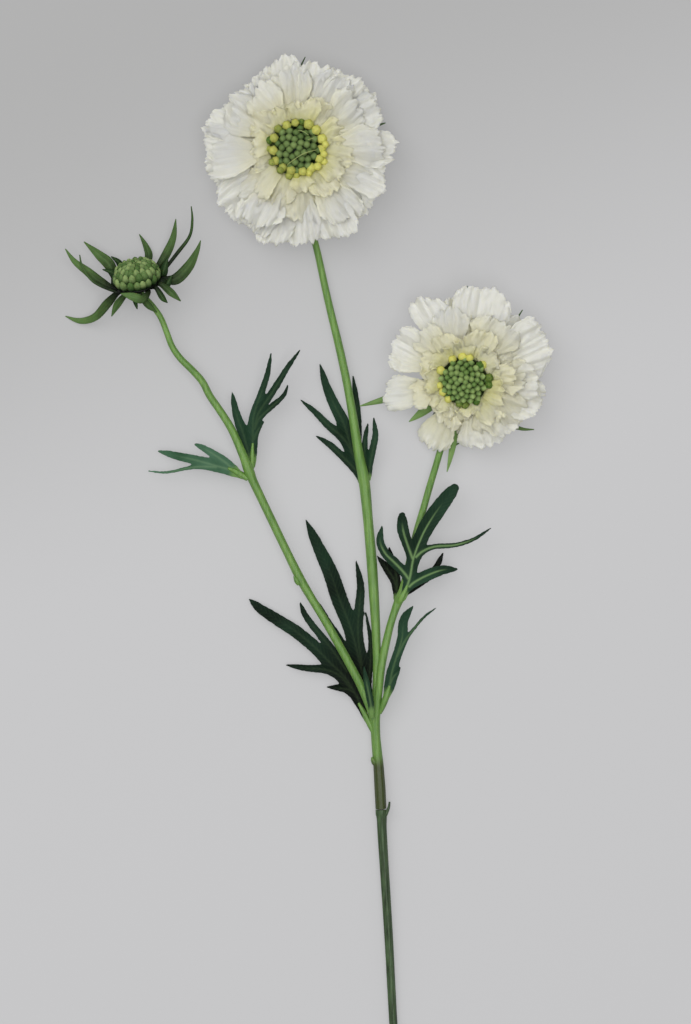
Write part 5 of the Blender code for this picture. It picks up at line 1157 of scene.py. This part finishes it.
# Each bract: angle of its foot round the rim, width there, tone, then x, y, z and width on to the tip
BUD_BRACTS = [
    (10, 3.0, 0.0, [(-59.8, 139.0, 12.0, 3.6), (-58.0, 144.5, 12.6, 0.3)]),
    (-16, 3.0, 0.0, [(-58.6, 133.0, 14.0, 3.4), (-56.2, 137.0, 14.6, 0.3)]),
    (170, 2.6, 0.0, [(-80.6, 137.8, 10.6, 2.8), (-85.4, 139.6, 11.0, 0.3)]),
    (128, 2.2, 0.0, [(-78.4, 142.2, 6.5, 2.6), (-82.0, 145.2, 7.0, 0.3)]),
    (185, 2.0, 0.7, [(-86.6, 134.6, 13.6, 4.0), (-91.5, 138.6, 13.6, 3.5), (-96.9, 142.8, 14.2, 2.2),
                     (-100.7, 148.0, 15.4, 0.3)]),
    (207, 1.0, 0.3, [(-88.5, 134.0, 16.0, 1.1), (-93.4, 140.3, 16.4, 0.9), (-94.6, 145.4, 17.0, 0.3)]),
    (150, 2.2, 0.6, [(-82.5, 141.5, 8.6, 4.6), (-87.0, 145.8, 9.0, 3.6), (-93.2, 151.2, 10.0, 0.3)]),
    (78, 2.0, 0.4, [(-66.4, 145.0, 3.2, 3.2), (-67.4, 149.4, 3.6, 2.4), (-70.2, 154.6, 4.6, 0.3)]),
    (45, 2.0, 0.5, [(-59.4, 145.4, 6.0, 3.6), (-56.0, 153.0, 7.2, 2.6), (-54.8, 160.8, 8.8, 0.3)]),
    (21, 1.2, 0.2, [(-54.2, 146.4, 10.2, 1.5), (-49.0, 153.4, 11.4, 1.2), (-47.8, 160.0, 12.8, 0.9),
                    (-48.2, 165.8, 14.2, 0.3)]),
    (-4, 2.2, 0.45, [(-54.8, 135.4, 13.6, 4.6), (-49.4, 140.6, 14.2, 4.2), (-45.8, 147.0, 15.6, 2.0),
                     (-44.2, 151.4, 16.6, 0.3)]),
    (-27, 2.0, 0.4, [(-56.4, 129.6, 17.2, 3.0), (-52.6, 126.2, 15.2, 0.3)]),
    (-46, 1.8, 0.15, [(-60.0, 127.4, 18.8, 2.4), (-58.0, 125.4, 17.6, 0.3)]),
    (-68, 1.8, 0.7, [(-68.4, 126.8, 22.8, 3.6), (-72.6, 127.8, 23.6, 3.2), (-77.2, 129.0, 23.4, 0.3)]),
    (-90, 1.8, 0.3, [(-66.0, 124.4, 19.8, 2.8), (-62.4, 121.4, 17.4, 0.3)]),
    (-108, 1.2, 0.0, [(-71.2, 125.0, 19.6, 1.5), (-70.6, 122.8, 18.2, 0.3)]),
    (-127, 2.0, 0.4, [(-79.0, 124.6, 17.0, 3.0), (-81.4, 119.8, 15.2, 0.3)]),
    (-152, 2.0, 0.7, [(-83.2, 125.4, 12.4, 3.6), (-88.6, 120.0, 6.6, 3.2), (-95.0, 118.4, 2.2, 2.4),
                      (-101.4, 120.4, 0.8, 0.3)]),
]

bud_plastic = floret_finish("powdered_plastic_bud", "#18300F", "#4C6B34", "#8CA266", -0.4, 0.8)
bud_bract_plastic = bract_finish("moulded_polyethylene_bud_bract", "#020601", "#1B3414", "#648449", 0.8)
axis = Vector(BUD_AXIS).normalized()
right = Vector((axis.y, -axis.x, 0)).normalized()
turn = Matrix((right, axis.cross(right), axis)).transposed().to_4x4()
bud_place = Matrix.Translation(Vector(BUD_CENTRE) * MM) @ turn


def drum_point(angle, turn):
    """A point of the bud's rounded drum, at an angle from its axis and a turn about it."""
    radius = BUD_RADIUS * math.sin(angle) ** 0.8
    return Vector((radius * math.cos(turn), radius * math.sin(turn), BUD_FOOT + BUD_HEIGHT * math.cos(angle) ** 0.7))


profile = [drum_point(angle, 0.0) for angle in DOME_ANGLES[1:]]
# The bud's dome is near black as painted shade between its florets
bud_dome = turned("bud_dome", [
    (0.0, BUD_FOOT + BUD_HEIGHT - 0.6), *((point.x - 0.7, point.z - 0.6) for point in profile), (0.0, BUD_FOOT - 0.6),
], shade_gap_plastic)
where, out, size, shade = [], [], [], []
for row, (degrees, count, radius) in enumerate(BUD_ROWS):
    for k in range(count):
        around = math.tau * (k + 0.5 * (row % 2)) / count + 0.06 * math.sin(5.0 * k + row)
        here, above = (drum_point(math.radians(degrees - part), around) for part in (0, 3))
        upward = (above - here).normalized()
        outward = Vector((here.x, here.y, here.z - BUD_FOOT)).normalized()
        where.append(here)
        out.append(upward * 0.85 + outward * 0.5)
        size.append(radius * MM * (1.0 + 0.08 * math.sin(7.0 * k + 3.0 * row)))
        shade.append(0.5 + 0.5 * math.sin(11.0 * k + 2.0 * row))
bud_knobs = grown(points_mesh("bud_florets", where, {"size": size, "shade": shade}, out=out), ring_rule, {
    "Stretch": 1.95, "Point": 0.3, "Lobes": 2.0, "Lobe Depth": 0.14, "Material": bud_plastic,
})
for piece in (bud_dome, bud_knobs):
    piece.data.transform(bud_place)
    fit(piece, "bud_head")
bud_cup = turned("bud_cup", [
    (0.0, 0.0), (BUD_RADIUS + 0.6, 0.0), (BUD_RADIUS + 0.9, -0.9), (6.0, -2.6), (2.4, -3.6), (0.0, -3.6),
], bud_bract_plastic)
bud_cup.data.transform(bud_place)
routes = []
for angle, width, _, route in BUD_BRACTS:
    around = math.radians(angle)
    foot = [
        (*(bud_place @ (Vector((radius * math.cos(around), radius * math.sin(around), height)) * MM) / MM), width)
        for radius, height in [(BUD_FOOT_RADIUS, -1.5), (BUD_RADIUS + 1.9, -1.0)]
    ]
    routes.append([*foot, *route])
bud_blades = bracts("bud_bract_blades", routes, [row[2] for row in BUD_BRACTS], bract_rule, bud_bract_plastic)
for piece in (bud_cup, bud_blades):
    fit(piece, "bud_bracts")

# The spray lies on a plain pale table top, painted a little lighter towards its foot as a painted fall-off of light,
# and glowing faintly from below like a light table, which is painted light that keeps its shadows soft, under two wide
# soft lamps and an even room light. The camera looks straight down on it from 2.2 m with a long lens, as the
# photograph does.

# The stage is in metres. The table's painted light grows between two distances along Y, less a share of X, so that it
# is lighter towards the spray's foot and to the right, and is a little uneven in clouds of a size in mm
FLOOR_SIDE, FLOOR_Z = 6.0, -0.0001
PAINTED_LIGHT_FROM, PAINTED_LIGHT_TO, PAINTED_LIGHT_SLANT, TONE_CLOUD = 0.27, 0.02, 0.35, 333.3
CAMERA_PLACE = (0.01617, 0.03822, 2.2)
CAMERA_LENS = 184.15

# Painted light: the table glows with its own colour, which fills in its shadows
table_paint_and_glow, tree, shader = new_finish(
    "glowing_matt_opal_acrylic", Roughness=0.9, Specular_IOR_Level=0.1, Emission_Strength=1.0,
)
place = add(tree, "ShaderNodeTexCoord").outputs["Object"]
cloud = add(tree, "ShaderNodeTexNoise", {"Vector": place, "Scale": per_metre(TONE_CLOUD), "Detail": 2.0})
axes = [Formula(tree, out) for out in add(tree, "ShaderNodeSeparateXYZ", {0: place}).outputs]
lighter = Formula(tree, add(tree, "ShaderNodeMapRange", {
    0: axes[1] - axes[0] * PAINTED_LIGHT_SLANT + (Formula(tree, cloud) - 0.5) * 0.06,
    1: PAINTED_LIGHT_FROM, 2: PAINTED_LIGHT_TO, 3: 0.0, 4: 1.0,
}, interpolation_type="SMOOTHSTEP"))
# Painted light: the table is painted lighter towards the spray's foot and to the right, as a fall-off of light
paint = add(tree, "ShaderNodeMix", {0: lighter, 6: linear("#828282"), 7: linear("#939394")}, data_type="RGBA")
tree.links.new(paint.outputs[2], shader.inputs["Base Color"])
tree.links.new(paint.outputs[2], shader.inputs["Emission Color"])
table = into_scene("table_top", bpy.data.meshes.new("table_top"))
corners = [(x * FLOOR_SIDE / 2, y * FLOOR_SIDE / 2, FLOOR_Z) for x, y in ((-1, -1), (1, -1), (1, 1), (-1, 1))]
table.data.from_pydata(corners, [], [(0, 1, 2, 3)])
table.data.materials.append(table_paint_and_glow)

world = bpy.data.worlds.new("room")
world.use_nodes = True
world.node_tree.nodes["Background"].inputs["Color"].default_value = linear("#F7F6F5")
world.node_tree.nodes["Background"].inputs["Strength"].default_value = 0.34
bpy.context.scene.world = world
# Each lamp: its name, its place and width in metres, and its power in watts; it faces the middle of the table
for name, spot, side, power in [
    ("soft_lamp", (-0.95, 0.9, 2.0), 1.8, 23.0), ("fill_lamp", (0.2, -0.15, 2.4), 1.3, 23.0),
]:
    light = bpy.data.lights.new(name, "AREA")
    light.size = side
    light.energy = power
    lamp = into_scene(name, light)
    lamp.location = spot
    lamp.rotation_euler = (-Vector(spot)).to_track_quat("-Z", "Y").to_euler()

camera = into_scene("camera", bpy.data.cameras.new("camera"))
camera.location = CAMERA_PLACE
camera.data.lens = CAMERA_LENS
bpy.context.scene.camera = camera
bpy.context.scene.view_settings.view_transform = "Standard"
